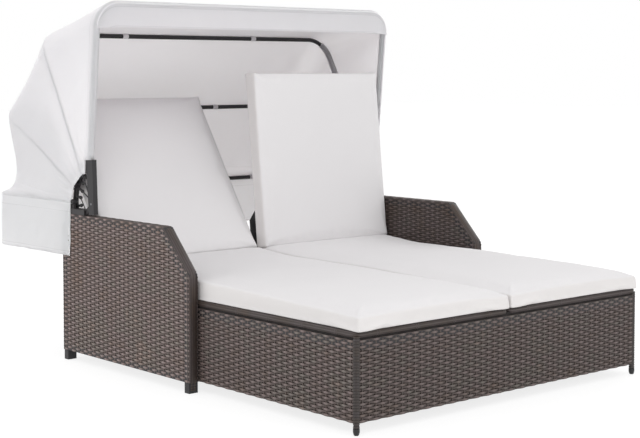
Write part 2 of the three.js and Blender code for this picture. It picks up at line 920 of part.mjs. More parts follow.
function clothLine(start, reach, clear = clothSide, steps = barSteps) {
  const side = bowPlane + clear;
  const bend = bowCorner + clear;
  const top = reach + clear;
  const line = [];
  for (let k = 0; k < sideSteps; k += 1) {
    line.push([side, start + ((top - bend - start) * k) / sideSteps]);
  }
  for (let k = 0; k < bendSteps; k += 1) {
    const turn = (Math.PI / 2) * (k / bendSteps);
    line.push([side - bend + bend * Math.cos(turn), top - bend + bend * Math.sin(turn)]);
  }
  for (let k = 0; k <= steps / 2; k += 1) {
    line.push([(side - bend) * (1 - (2 * k) / steps), top]);
  }
  const mirrored = line.slice(0, -1).map(([x, reached]) => [-x, reached]);
  return [...line, ...mirrored.reverse()];
}

// Where a point (x, reach) of a bow lies, `out` in front of the bow's plane
function bowPoint(bow, [x, reach], out = 0) {
  const turn = THREE.MathUtils.degToRad(bow.angle);
  return new THREE.Vector3(
    x,
    bow.y + reach * Math.cos(turn) - out * Math.sin(turn),
    bow.z + reach * Math.sin(turn) + out * Math.cos(turn),
  );
}

// A sheet with thickness: `rows` of points on its inner face, thickened outwards
function sheet(rows, thickness) {
  const height = rows.length;
  const width = rows[0].length;
  const spots = [];
  for (const row of rows) {
    row.forEach((spot) => spots.push(spot.x, spot.y, spot.z));
  }
  for (let r = 0; r < height; r += 1) {
    for (let c = 0; c < width; c += 1) {
      const along = rows[r][Math.min(c + 1, width - 1)].clone().sub(rows[r][Math.max(c - 1, 0)]);
      const across = rows[Math.min(r + 1, height - 1)][c].clone().sub(rows[Math.max(r - 1, 0)][c]);
      const out = along.cross(across).normalize().multiplyScalar(thickness).add(rows[r][c]);
      spots.push(out.x, out.y, out.z);
    }
  }
  const faces = [];
  const outer = height * width;
  const quad = (a, b, c, d) => faces.push(a, b, c, a, c, d);
  for (let r = 0; r < height - 1; r += 1) {
    for (let c = 0; c < width - 1; c += 1) {
      const at = r * width + c;
      quad(at, at + width, at + width + 1, at + 1);
      quad(outer + at, outer + at + 1, outer + at + width + 1, outer + at + width);
    }
  }
  for (let c = 0; c < width - 1; c += 1) {
    const last = (height - 1) * width + c;
    quad(c, c + 1, outer + c + 1, outer + c);
    quad(last + 1, last, outer + last, outer + last + 1);
  }
  for (let r = 0; r < height - 1; r += 1) {
    const at = r * width;
    const end = at + width - 1;
    quad(at + width, at, outer + at, outer + at + width);
    quad(end, end + width, outer + end + width, outer + end);
  }
  return indexedGeometry(spots, faces);
}

// A spot on the cloth beside a bow's tube: straight out from the tube when lean is 0,
// and turned round the tube, out of the bow's plane, by the angle whose sine is lean
function tubeSpot(bow, c, lean) {
  const [x, reach] = bow.middle[c];
  const [besideX, besideReach] = bow.beside[c];
  const level = Math.sqrt(1 - lean * lean);
  const spot = [x + level * (besideX - x), reach + level * (besideReach - reach)];
  return bowPoint(bow, spot, lean * clothSide);
}

// How far round the tube the cloth lets go of it on its way to the other bow
function leaving(bow, other, c) {
  const last = bow.middle.length - 1;
  const here = bowPoint(bow, bow.middle[c]);
  const before = bowPoint(bow, bow.middle[Math.max(c - 1, 0)]);
  const after = bowPoint(bow, bow.middle[Math.min(c + 1, last)]);
  const away = bowPoint(other, other.middle[c]).sub(here);
  const outwards = bowPoint(bow, bow.beside[c]).sub(here);
  const normal = after.sub(before).cross(away).normalize();
  const facing = Math.sign(normal.dot(outwards)) || 1;
  const ahead = bowPoint(bow, bow.middle[c], 1).sub(here);
  return normal.dot(ahead) * facing;
}

// Cloth stretched from one bow to the next: it lies on both tubes, sags towards the pivot
// along the bars, is drawn in at the corners, and its sides stand out in shallow pleats.
function clothSpan(from, to, sag, cornerSag) {
  const columns = from.middle.map((spot, c) => c);
  const onFrom = columns.map((c) => {
    const lean = THREE.MathUtils.clamp(leaving(from, to, c), leastLeanShare, mostLeanShare);
    return tubeSpot(from, c, lean);
  });
  const onTo = columns.map((c) => {
    const lean = THREE.MathUtils.clamp(-leaving(to, from, c), leastLeanShare, mostLeanShare);
    return tubeSpot(to, c, -lean);
  });
  const rows = [columns.map((c) => bowPoint(from, from.beside[c], seam))];
  for (let r = 0; r <= spanSteps; r += 1) {
    const share = r / spanSteps;
    rows.push(columns.map((c) => slackSpot(onFrom[c], onTo[c], share, c, columns.length, sag, cornerSag)));
  }
  rows.push(columns.map((c) => bowPoint(to, to.beside[c], to.lapped ? 0 : -seam)));
  if (to.lapped) {
    rows.push(columns.map((c) => tubeSpot(to, c, Math.sin(THREE.MathUtils.degToRad(clothLapAngle)))));
  }
  return sheet(rows, clothThickness);
}

function slackSpot(start, end, share, c, count, sag, cornerSag) {
  const slack = Math.sin(Math.PI * share) ** 2;
  const spot = start.clone().lerp(end, share);
  const along = Math.min(c, count - 1 - c);
  const reachShare = Math.min(along / (sideSteps + bendSteps), 1);
  const cornerShare = Math.max(0, 1 - Math.abs(along - sideSteps - bendSteps / 2) / sideSteps);
  const inward = slack * (sag * reachShare * reachShare + cornerSag * cornerShare);
  const arm = new THREE.Vector2(spot.y - pivotY, spot.z - pivotZ);
  const pull = 1 - inward / arm.length();
  const sideShare = Math.max(0, 1 - along / sideSteps) * Math.min(along, 1);
  const pleat = sidePleat * sideShare * Math.sin(2 * Math.PI * share) ** 2;
  return spot.set(spot.x + Math.sign(spot.x) * pleat, pivotY + arm.x * pull, pivotZ + arm.y * pull);
}

function canopyBows() {
  const turn = THREE.MathUtils.degToRad(postAngle);
  const head = { y: pivotY + postHead * Math.cos(turn), z: pivotZ + postHead * Math.sin(turn) };
  const bow = (origin, angle, start, reach, lapped) => ({
    ...origin,
    angle,
    lapped,
    middle: clothLine(start, reach, 0),
    beside: clothLine(start, reach, clothSide),
  });
  const pivot = { y: pivotY, z: pivotZ };
  return {
    rear: bow(pivot, rearBowAngle, clothEdge, rearBowReach, false),
    second: bow(pivot, secondBowAngle, clothEdge, secondBowReach, false),
    first: bow(pivot, firstBowAngle, clothEdge, firstBowReach, false),
    front: bow(head, frontBowAngle, bladeWidth, frontBowReach, true),
  };
}

function makeCanopyCloth() {
  const bows = canopyBows();
  const spans = [
    ["canopy_rear_cloth", bows.rear, bows.second, rearSag, rearCornerSag],
    ["canopy_middle_cloth", bows.second, bows.first, middleSag, 0],
    ["canopy_front_cloth", bows.first, bows.front, frontSag, 0],
  ];
  for (const [name, from, to, sag, cornerSag] of spans) {
    add(name, clothSpan(from, to, sag, cornerSag), canopyCloth());
  }
}

// The flap hangs from the rear bow, round the back and both sides
function makeRearFlap() {
  const line = clothLine(flapFront, rearBowReach, clothSide, flapBarSteps);
  const rows = [];
  for (let r = 0; r <= flapRows; r += 1) {
    const share = r / flapRows;
    const row = line.map(([x, reach], c) => {
      const rearShare = Math.max(0, (reach - bowFoot) / (rearBowReach - bowFoot));
      const wave = flapFold * (0.5 - 0.5 * Math.cos(c * Math.PI));
      const out = share * (flapFlare * rearShare - wave * rearShare);
      return new THREE.Vector3(x, pivotY + reach + out, pivotZ - seam - flapDrop * share);
    });
    rows.push(row);
  }
  rows.reverse();
  add("rear_flap", sheet(rows, clothThickness), canopyCloth());
}

// The valance hangs inside the front bow, from its bar and round its corners
function makeFrontValance() {
  const { front } = canopyBows();
  const out = (bowTube / 2) * Math.cos(Math.PI / tubeSides) + seam;
  const rows = [];
  for (let r = 0; r <= valanceRows; r += 1) {
    const share = r / valanceRows;
    const row = [];
    for (let c = 0; c <= valanceColumns; c += 1) {
      const turn = (Math.PI * c) / valanceColumns;
      const x = bowPlane * Math.cos(turn);
      const past = Math.max(0, Math.abs(x) - (bowPlane - bowCorner));
      const upper = frontBowReach - bowCorner + Math.sqrt(Math.max(0, bowCorner * bowCorner - past * past));
      const low = frontBowReach - valanceDrop + valanceArch * Math.sin(turn);
      const fold = valanceFold * share * (0.5 - 0.5 * Math.cos(Math.PI * c));
      row.push(bowPoint(front, [x, upper + (low - upper) * share], out + fold));
    }
    rows.push(row);
  }
  add("front_valance", sheet(rows, clothThickness), canopyCloth());
}

for (const end of leftAndRight) {
  makeArmWeave(end);
  makeArmFrame(end);
  makeArmGlides(end);
  makeCornerPost(end);
  makeCornerGlide(end);
  makeSideSkirt(end);
  makeSeatFrame(end);
  makeSeatCushion(end);
  makeHingeRod(end);
  makeRacks(end);
  makePivotBracket(end);
  makePivotBolt(end);
  makeQuadrant(end);
}
makeFrontSkirt();
makeRearSkirt();
makeRearRail();
makeCrossRail();
makeHingeRail();
makeBackrest(leftAndRight[0], leftRestAngle);
makeBackrest(leftAndRight[1], rightRestAngle);
makeRearBow();
makeBladedBow("second_bow", secondBowAngle, secondBowReach, -bladeOffset);
makeBladedBow("first_bow", firstBowAngle, firstBowReach, bladeOffset);
makeFrontBow();
makeCanopyCloth();
makeRearFlap();
makeFrontValance();

export default daybed;
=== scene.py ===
import json
import math

import bmesh
import bpy
from mathutils import Matrix, Vector, noise
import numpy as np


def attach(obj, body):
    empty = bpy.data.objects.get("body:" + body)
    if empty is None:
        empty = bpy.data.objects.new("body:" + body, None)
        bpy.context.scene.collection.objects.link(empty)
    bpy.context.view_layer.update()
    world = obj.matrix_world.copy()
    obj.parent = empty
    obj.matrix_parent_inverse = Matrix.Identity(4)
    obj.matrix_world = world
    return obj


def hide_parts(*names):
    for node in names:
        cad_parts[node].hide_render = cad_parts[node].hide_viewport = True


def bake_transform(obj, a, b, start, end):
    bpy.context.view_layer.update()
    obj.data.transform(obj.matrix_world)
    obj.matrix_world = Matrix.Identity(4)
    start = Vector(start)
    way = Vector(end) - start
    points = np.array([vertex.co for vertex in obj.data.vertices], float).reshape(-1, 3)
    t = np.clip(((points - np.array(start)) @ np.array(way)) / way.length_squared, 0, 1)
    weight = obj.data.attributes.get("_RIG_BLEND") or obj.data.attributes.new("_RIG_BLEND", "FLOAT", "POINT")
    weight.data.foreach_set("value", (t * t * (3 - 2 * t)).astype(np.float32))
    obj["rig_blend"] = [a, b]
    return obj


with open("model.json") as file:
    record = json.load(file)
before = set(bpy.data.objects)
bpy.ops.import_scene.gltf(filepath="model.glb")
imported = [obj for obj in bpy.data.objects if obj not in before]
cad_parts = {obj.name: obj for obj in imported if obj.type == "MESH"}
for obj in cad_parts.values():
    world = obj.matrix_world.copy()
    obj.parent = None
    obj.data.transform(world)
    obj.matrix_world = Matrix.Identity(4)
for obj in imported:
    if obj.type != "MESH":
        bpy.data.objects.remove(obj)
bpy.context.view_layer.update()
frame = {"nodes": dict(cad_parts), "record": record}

scene = bpy.context.scene
mm = 0.001

# Sizes of the daybed in millimetres: x from its middle, y from its foot end, z from the floor
bed = {
    "middleY": 1008.8,          # the frame's origin lies this far from the foot end
    "halfWidth": 650.0,
    "armOuter": 690.0,
    "armFront": 757.5,
    "rear": 1534.0,
    "armTop": 531.0,
    "armFrontTop": 390.5,
    "armSlope": 137.5,
    "panelFoot": 35.0,
    "skirtTop": 275.0,
    "rearSkirtTop": 250.0,
    "deckTop": 300.0,
    "seatLength": 1268.0,
    "hinge": (1285.0, 290.0),
    "pivot": (1340.0, 575.0),
    "bowPlane": 681.0,
}


# ---- node trees written as sums ----

class Val:  # a node's socket that can stand in a sum
    def __init__(self, tree, socket):
        self.tree = tree
        self.socket = socket

    def math(self, operation, *others, flip=False):
        node = self.tree.nodes.new("ShaderNodeMath")
        node.operation = operation
        terms = [self, *others]
        if flip:
            terms.reverse()
        for place, term in enumerate(terms):
            wire(self.tree, node.inputs[place], term)
        return Val(self.tree, node.outputs[0])

    def __add__(self, other):
        return self.math("ADD", other)

    def __sub__(self, other):
        return self.math("SUBTRACT", other)

    def __mul__(self, other):
        return self.math("MULTIPLY", other)

    def __truediv__(self, other):
        return self.math("DIVIDE", other)

    def __radd__(self, other):
        return self.math("ADD", other)

    def __rmul__(self, other):
        return self.math("MULTIPLY", other)

    def __rsub__(self, other):
        return self.math("SUBTRACT", other, flip=True)


def wire(tree, socket, value):
    if isinstance(value, Val):
        tree.links.new(value.socket, socket)
    else:
        socket.default_value = value


class Tree:  # makes nodes in one tree
    def __init__(self, tree):
        self.tree = tree

    def make(self, kind, settings=None, values=None, out=0):
        node = self.tree.nodes.new(kind)
        for key, value in (settings or {}).items():
            if key == "stops":
                ramp = node.color_ramp
                while len(ramp.elements) < len(value):
                    ramp.elements.new(0.5)
                for stop, (place, color) in zip(ramp.elements, value):
                    stop.position = place
                    stop.color = (*color, 1)
            else:
                setattr(node, key, value)
        for key, value in (values or {}).items():
            wire(self.tree, node.inputs[key], value)
        return Val(self.tree, node.outputs[out])


def hexColor(text):
    parts = [int(text[k:k + 2], 16) / 255 for k in (1, 3, 5)]
    return tuple(p / 12.92 if p <= 0.04045 else ((p + 0.055) / 1.055) ** 2.4 for p in parts)


def dimmed(text, share):  # the same colour, darker
    return "#" + "".join(f"{round(int(text[k:k + 2], 16) * share):02x}" for k in (1, 3, 5))


def mixColor(tree, share, first, second):
    values = {0: share, 6: first, 7: second}
    for key in (6, 7):
        if isinstance(values[key], tuple):
            values[key] = (*values[key], 1)
    return tree.make("ShaderNodeMix", {"data_type": "RGBA"}, values, out=2)


def newMaterial(name):
    material = bpy.data.materials.new(name)
    material.use_nodes = True
    nodes = material.node_tree.nodes
    shader = nodes["Principled BSDF"]
    return material, Tree(material.node_tree), shader


def connect(tree, shader, key, value):
    wire(tree.tree, shader.inputs[key], value)


def setShader(shader, **values):
    for key, value in values.items():
        shader.inputs[key].default_value = value


def objectPlace(tree):
    return tree.make("ShaderNodeTexCoord", out=3)


def noiseValue(tree, place, scale, detail, roughness):
    return tree.make("ShaderNodeTexNoise", {}, {
        "Vector": place, "Scale": scale, "Detail": detail, "Roughness": roughness})


def stretched(tree, place, scale):
    return tree.make("ShaderNodeMapping", {"vector_type": "POINT"}, {"Vector": place, "Scale": scale})


def bump(tree, height, strength, distance):
    return tree.make("ShaderNodeBump", {}, {"Height": height, "Strength": strength, "Distance": distance})


# ---- finishes ----

# Strands: each has its own tone, and its low stretches are duller and darkened towards a deep brown by painted shade
def makeStrandFinish(name, colors, paintedShadeAmount, gloss):
    material, tree, shader = newMaterial(name)
    shade = tree.make("ShaderNodeAttribute", {"attribute_name": "shade"}, out=2)
    rise = tree.make("ShaderNodeAttribute", {"attribute_name": "rise"}, out=2)
    place = objectPlace(tree)
    patches = noiseValue(tree, place, 11.0, 3.0, 0.6)
    clouds = noiseValue(tree, place, 4.0, 1.0, 0.5)
    fine = noiseValue(tree, place, 500.0, 2.0, 0.6)
    tone = shade * 0.3 + patches * 0.85 + clouds * 0.35 + fine * 0.1 - 0.3
    stops = [(0.1 + 0.8 * k / (len(colors) - 1), hexColor(color)) for k, color in enumerate(colors)]
    color = tree.make("ShaderNodeValToRGB", {"stops": stops}, {"Fac": tone})
    # painted shade: the lower a strand runs (the rise attribute), the more its colour is mixed towards the deep brown
    depth = (rise * 1.45 - 0.4).math("MAXIMUM", 0.0).math("MINIMUM", 1.0)
    shadow = (1 - depth) * paintedShadeAmount
    deep = tuple(c * 0.3 for c in hexColor(colors[0]))
    connect(tree, shader, "Base Color", mixColor(tree, shadow, color, deep))
    connect(tree, shader, "Roughness", gloss + 0.2 * fine + 0.25 * (1 - depth))
    connect(tree, shader, "Normal", bump(tree, fine, 0.25, 0.0005))
    setShader(shader, **{"Specular IOR Level": 0.55})
    return material


# Paint, plastic, zinc and tape: a fine grain over slow changes of gloss
def makePlainFinish(name, color, roughness, metallic=0.0, grain=300.0):
    material, tree, shader = newMaterial(name)
    place = objectPlace(tree)
    speck = noiseValue(tree, place, grain, 3.0, 0.6)
    cloud = noiseValue(tree, place, 9.0, 2.0, 0.5)
    base = hexColor(color)
    darker = tuple(c * 0.88 for c in base)
    connect(tree, shader, "Base Color", mixColor(tree, cloud * 0.7 + speck * 0.3, darker, base))
    connect(tree, shader, "Roughness", roughness - 0.08 + 0.16 * cloud)
    connect(tree, shader, "Normal", bump(tree, speck, 0.3, 0.0002))
    setShader(shader, Metallic=metallic)
    return material


# Cloth: a plain weave on the cloth map, thick threads, clouds of tone and sewn lines with painted shade in their
# grooves
def makeClothFinish(name, color, shadow, thread, band=None, seams=(), canvas=True):
    material, tree, shader = newMaterial(name)
    place = tree.make("ShaderNodeUVMap", {"uv_map": "cloth"})
    parts = tree.make("ShaderNodeSeparateXYZ", {}, {"Vector": place})
    across = Val(tree.tree, parts.socket.node.outputs[0])
    along = Val(tree.tree, parts.socket.node.outputs[1])
    warp = (across * (2 * math.pi / thread)).math("SINE")
    weft = (along * (2 * math.pi / thread)).math("SINE")
    weave = (warp * weft) * 0.5 + 0.5
    slub = noiseValue(tree, stretched(tree, place, (900.0, 60.0, 1.0)), 1.0, 2.0, 0.6)
    slubAcross = noiseValue(tree, stretched(tree, place, (60.0, 900.0, 1.0)), 1.0, 2.0, 0.6)
    cloud = noiseValue(tree, objectPlace(tree), 5.0, 3.0, 0.5)
    tone = weave * 0.25 + slub * 0.22 + slubAcross * 0.22 + cloud * 0.5 * 0.6
    base = mixColor(tree, tone, hexColor(shadow), hexColor(color))
    if band:
        side = tree.make("ShaderNodeAttribute", {"attribute_name": "band"}, out=2)
        base = mixColor(tree, side, base, hexColor(band))
    height = weave * 0.6 + slub * 0.2 + slubAcross * 0.2
    for seam in seams:  # a sewn line at this distance down the cloth, in metres
        groove = 1 - ((along - seam).math("ABSOLUTE") / 0.0022).math("MINIMUM", 1.0)
        # painted shade: the sewn line's groove is mixed towards a darker colour
        base = mixColor(tree, groove * 0.22, base, tuple(c * 0.45 for c in hexColor(shadow)))
        height = height - groove * 2.5
    connect(tree, shader, "Base Color", base)
    connect(tree, shader, "Roughness", 0.82 + 0.1 * slub)
    connect(tree, shader, "Normal", bump(tree, height, 0.35, 0.00025))
    setShader(shader, **{"Sheen Weight": 0.1, "Sheen Roughness": 0.5, "Specular IOR Level": 0.2})
    if canvas:  # lets some light through
        setShader(shader, **{"Subsurface Weight": 1.0, "Subsurface Scale": 0.009,
                             "Subsurface Radius": (1.0, 0.96, 0.94)})
    return material


strandColors = ["#6a584f", "#846d63", "#806f68", "#8a7876", "#7f756e", "#907c73", "#95847f"]
wrapColors = ["#30251e", "#453429", "#3d322d", "#463b3b", "#3c362f", "#4d4038"]
strandFinish = makeStrandFinish("wovenStrands", strandColors, 0.6, 0.3)
# the side and rear skirts take the strand colours at 0.86 of their brightness
skirtFinish = makeStrandFinish("skirtStrands", [dimmed(color, 0.86) for color in strandColors], 0.6, 0.3)
# the front skirt takes the strand colours at 0.75 of their brightness: painted shade on the front face
paintedShadeFootFinish = makeStrandFinish("footStrandsPaintedShade", [dimmed(color, 0.75) for color in strandColors], 0.6, 0.3)
# the arms' inner faces take darker copies of the strand colours: painted shade
paintedShadeInnerFinish = makeStrandFinish("innerStrandsPaintedShade", [dimmed(color, 0.7) for color in strandColors], 0.5, 0.38)
wrapFinish = makeStrandFinish("wrappedStrands", wrapColors, 0.5, 0.34)
postFinish = makeStrandFinish("postStrands", [dimmed(color, 0.8) for color in wrapColors], 0.5, 0.3)
# near-black boards and cores behind the weave: painted shade seen through the gaps
paintedShadeBoardFinish = makePlainFinish("paintedShadeBehindWeave", "#1d1817", 0.9)
steelFinish = makePlainFinish("darkPaintedSteel", "#1f1d20", 0.55)
greyFinish = makePlainFinish("greyPaintedSteel", "#282527", 0.55)
plasticFinish = makePlainFinish("blackMoulding", "#19191b", 0.4)
rodFinish = makePlainFinish("zincRod", "#8b8c90", 0.35, 0.8)
hoodFinish = makeClothFinish("hoodCanvas", "#f7f0f5", "#ede5eb", 0.0016)
frontFinish = makeClothFinish("hoodFrontCanvas", "#f7f0f5", "#ede5eb", 0.0016, seams=(0.046,))
# the flap and the valance take brighter copies of the hood canvas colours: painted light
flapFinish = makeClothFinish("hoodFlapCanvas", "#fdf6fc", "#f5edf3", 0.0016, seams=(0.003, 0.036, 0.18))
valanceFinish = makeClothFinish("hoodValanceCanvas", "#fcf5fa", "#f3ebf1", 0.0016, seams=(0.014, 0.082))
cushionFinish = makeClothFinish("cushionCover", "#e7e5e6", "#dad8d9", 0.0013, band="#dfdcdb", canvas=False)
tabFinish = makePlainFinish("whiteTape", "#eceaec", 0.8, grain=900.0)
print("finishes made")


# ---- meshes ----

def newObject(name, mesh, material, smooth=True):
    piece = bpy.data.objects.new(name, mesh)
    scene.collection.objects.link(piece)
    mesh.materials.clear()
    mesh.materials.append(material)
    if smooth:
        mesh.shade_smooth()
    return piece


def rowPoint(x, y, z):
    return Vector((x * mm, (y - bed["middleY"]) * mm, z * mm))


def boxMesh(name, low, high, bevel=0.0, segments=2):
    mesh = bpy.data.meshes.new(name)
    work = bmesh.new()
    bmesh.ops.create_cube(work, size=1.0)
    for vert in work.verts:
        vert.co = Vector(tuple(l + (h - l) * (c + 0.5) for l, h, c in zip(low, high, vert.co)))
    if bevel > 0:
        bmesh.ops.bevel(work, geom=work.edges[:], offset=bevel, segments=segments, profile=0.5, affect="EDGES")
    work.to_mesh(mesh)
    work.free()
    return mesh


def prismMesh(name, outline, lowX, highX):  # outline of (y, z) in bed millimetres, made solid along x
    mesh = bpy.data.meshes.new(name)
    count = len(outline)
    spots = [rowPoint(x, y, z) for x in (lowX, highX) for y, z in outline]
    faces = [list(range(count))[::-1], list(range(count, 2 * count))]
    faces += [[k, (k + 1) % count, count + (k + 1) % count, count + k] for k in range(count)]
    mesh.from_pydata(spots, [], faces)
    work = bmesh.new()
    work.from_mesh(mesh)
    bmesh.ops.recalc_face_normals(work, faces=work.faces[:])
    work.to_mesh(mesh)
    work.free()
    return mesh


def pathMesh(name, points, closed=False):
    mesh = bpy.data.meshes.new(name)
    edges = [(k, k + 1) for k in range(len(points) - 1)]
    if closed:
        edges.append((len(points) - 1, 0))
    mesh.from_pydata([tuple(p) for p in points], edges, [])
    return mesh


def joinMeshes(name, meshes):
    work = bmesh.new()
    for mesh in meshes:
        work.from_mesh(mesh)
    whole = bpy.data.meshes.new(name)
    work.to_mesh(whole)
    work.free()
    return whole


# Runs a geometry tree on a mesh and returns the plain mesh that it makes
def runTree(group, mesh, inputs):
    holder = bpy.data.objects.new("holder", mesh)
    scene.collection.objects.link(holder)
    modifier = holder.modifiers.new("tree", "NODES")
    modifier.node_group = group
    for item in group.interface.items_tree:
        if item.item_type == "SOCKET" and item.in_out == "INPUT" and item.name in inputs:
            modifier[item.identifier] = inputs[item.name]
    graph = bpy.context.evaluated_depsgraph_get()
    made = bpy.data.meshes.new_from_object(holder.evaluated_get(graph), depsgraph=graph)
    bpy.data.objects.remove(holder)
    return made


def newGroup(name, inputs):
    group = bpy.data.node_groups.new(name, "GeometryNodeTree")
    group.interface.new_socket("Geometry", in_out="INPUT", socket_type="NodeSocketGeometry")
    for label, kind in inputs:
        group.interface.new_socket(label, in_out="INPUT", socket_type=kind)
    group.interface.new_socket("Geometry", in_out="OUTPUT", socket_type="NodeSocketGeometry")
    start = group.nodes.new("NodeGroupInput")
    values = {socket.name: Val(group, socket) for socket in start.outputs if socket.name}
    return group, Tree(group), values


def endGroup(tree, geometry, material):
    real = tree.make("GeometryNodeRealizeInstances", {}, {0: geometry})
    smooth = tree.make("GeometryNodeSetShadeSmooth", {}, {0: real})
    dressed = tree.make("GeometryNodeSetMaterial", {}, {0: smooth, 2: material})
    end = tree.tree.nodes.new("NodeGroupOutput")
    tree.tree.links.new(dressed.socket, end.inputs[0])


def stored(tree, geometry, name, value):  # a number kept on each point
    return tree.make("GeometryNodeStoreNamedAttribute", {"data_type": "FLOAT", "domain": "POINT"},
                     {0: geometry, 2: name, 3: value})


def randomShare(tree, key, seed):  # a random number from 0 to 1 for each key
    return tree.make("FunctionNodeRandomValue", {"data_type": "FLOAT"}, {2: 0.0, 3: 1.0, 7: key, 8: seed}, out=1)


def compared(tree, operation, first, second):
    return tree.make("FunctionNodeCompare", {"data_type": "FLOAT", "operation": operation}, {0: first, 1: second})


def splitPart(tree, vector, part):
    split = tree.make("ShaderNodeSeparateXYZ", {}, {0: vector})
    return Val(tree.tree, split.socket.node.outputs[part])


def joined(tree, x, y, z=0.0):
    return tree.make("ShaderNodeCombineXYZ", {}, {0: x, 1: y, 2: z})


# The lines of a grid with one corner at the origin; those that run along the dropped axis are left out
def gridLines(tree, width, height, columns, rows, dropped, middle):
    grid = tree.make("GeometryNodeMeshGrid", {}, {0: width, 1: height, 2: columns, 3: rows})
    placed = tree.make("GeometryNodeTransform", {}, {0: grid, 1: joined(tree, *middle)})
    ends = tree.make("GeometryNodeInputMeshEdgeVertices", out=2)
    otherEnd = Val(tree.tree, ends.socket.node.outputs[3])
    line = tree.make("ShaderNodeVectorMath", {"operation": "SUBTRACT"}, {0: ends, 1: otherEnd})
    unwanted = compared(tree, "GREATER_THAN", splitPart(tree, line, dropped).math("ABSOLUTE"), 1e-5)
    return tree.make("GeometryNodeDeleteGeometry", {"domain": "EDGE", "mode": "EDGE_FACE"}, {0: placed, 1: unwanted})


def circle(tree, sides, radius):
    return tree.make("GeometryNodeCurvePrimitiveCircle", {"mode": "RADIUS"}, {0: sides, 4: radius})


def scaledTo(tree, geometry, width, depth):
    return tree.make("GeometryNodeTransform", {}, {0: geometry, 3: joined(tree, width, depth, 1.0)})


# Sweeps a flat six-sided profile along a mesh's lines
def sweptFlat(tree, mesh, width, depth):
    lines = tree.make("GeometryNodeMeshToCurve", {}, {0: mesh})
    lines = tree.make("GeometryNodeSetCurveNormal", {"mode": "Z_UP"}, {0: lines})
    profile = scaledTo(tree, circle(tree, 6, 0.5), width, depth)
    return tree.make("GeometryNodeCurveToMesh", {}, {0: lines, 1: profile, 3: True})


# A strand panel in x (right) and y (up): flat strands run along x, over and under upright stakes.
# Its upper left corner is cut off by a slope when Corner Length is over zero.
def buildPanelTree():
    number, whole = "NodeSocketFloat", "NodeSocketInt"
    group, tree, given = newGroup("strandPanel", [
        ("Width", number), ("Height", number), ("Rows", whole), ("Steps", whole), ("Stake Gap", number),
        ("Strand Width", number), ("Strand Depth", number), ("Wave", number), ("Stakes", whole),
        ("Stake Width", number), ("Corner Height", number), ("Corner Length", number), ("Seed", whole),
        ("Strands", "NodeSocketMaterial")])
    middle = (given["Width"] * 0.5, given["Height"] * 0.5)
    rows = gridLines(tree, given["Width"], given["Height"], given["Steps"], given["Rows"], 1, middle)
    place = tree.make("GeometryNodeInputPosition")
    x, y = splitPart(tree, place, 0), splitPart(tree, place, 1)
    rowGap = given["Height"] / (given["Rows"] - 1)
    row = (y / rowGap).math("ROUND")
    slopeX = ((y - given["Corner Height"]) / (given["Height"] - given["Corner Height"] + 1e-6)).math("MAXIMUM", 0.0)
    slopeX = slopeX * given["Corner Length"]
    step = given["Width"] / (given["Steps"] - 1)
    beyond = compared(tree, "LESS_THAN", x, slopeX - step)
    trimmed = tree.make("GeometryNodeDeleteGeometry", {"domain": "POINT", "mode": "ALL"}, {0: rows, 1: beyond})
    drift = tree.make("ShaderNodeTexNoise", {"noise_dimensions": "2D"}, {
        "Vector": joined(tree, x * 3.0, row * 7.3), "Scale": 1.0})
    shaded = stored(tree, trimmed, "shade", randomShare(tree, row, given["Seed"]) * 0.6 + drift * 0.4)
    swing = ((x / given["Stake Gap"] + row) * math.pi).math("SINE")
    # rise also sets the strand finish's painted shade, darkest where a strand dips under a stake
    raised = stored(tree, shaded, "rise", swing)
    bent = joined(tree, x.math("MAXIMUM", slopeX), y, swing * given["Wave"])
    waved = tree.make("GeometryNodeSetPosition", {}, {0: raised, 2: bent})
    strands = sweptFlat(tree, waved, given["Strand Width"], given["Strand Depth"])
    both = tree.tree.nodes.new("GeometryNodeJoinGeometry")
    tree.tree.links.new(strands.socket, both.inputs[0])
    tree.tree.links.new(stakeBars(tree, given).socket, both.inputs[0])
    endGroup(tree, Val(group, both.outputs[0]), given["Strands"])
    return group


# The upright stakes between the strands, cut off at the slope; their low rise makes the strand finish paint them in
# shade
def stakeBars(tree, given):
    middle = (given["Width"] * 0.5, given["Height"] * 0.5)
    run = given["Width"] - given["Stake Gap"]
    uprights = gridLines(tree, run, given["Height"], given["Stakes"], 2, 0, middle)
    place = tree.make("GeometryNodeInputPosition")
    x, y = splitPart(tree, place, 0), splitPart(tree, place, 1)
    shade = randomShare(tree, (x / given["Stake Gap"]).math("ROUND"), given["Seed"])
    raised = stored(tree, stored(tree, uprights, "shade", shade), "rise", -0.35)
    slopeY = given["Corner Height"] + (given["Height"] - given["Corner Height"]) * x / (given["Corner Length"] + 1e-6)
    cut = joined(tree, x, y.math("MINIMUM", slopeY))
    trimmed = tree.make("GeometryNodeSetPosition", {}, {0: raised, 2: cut})
    return sweptFlat(tree, trimmed, given["Stake Width"], given["Strand Depth"])


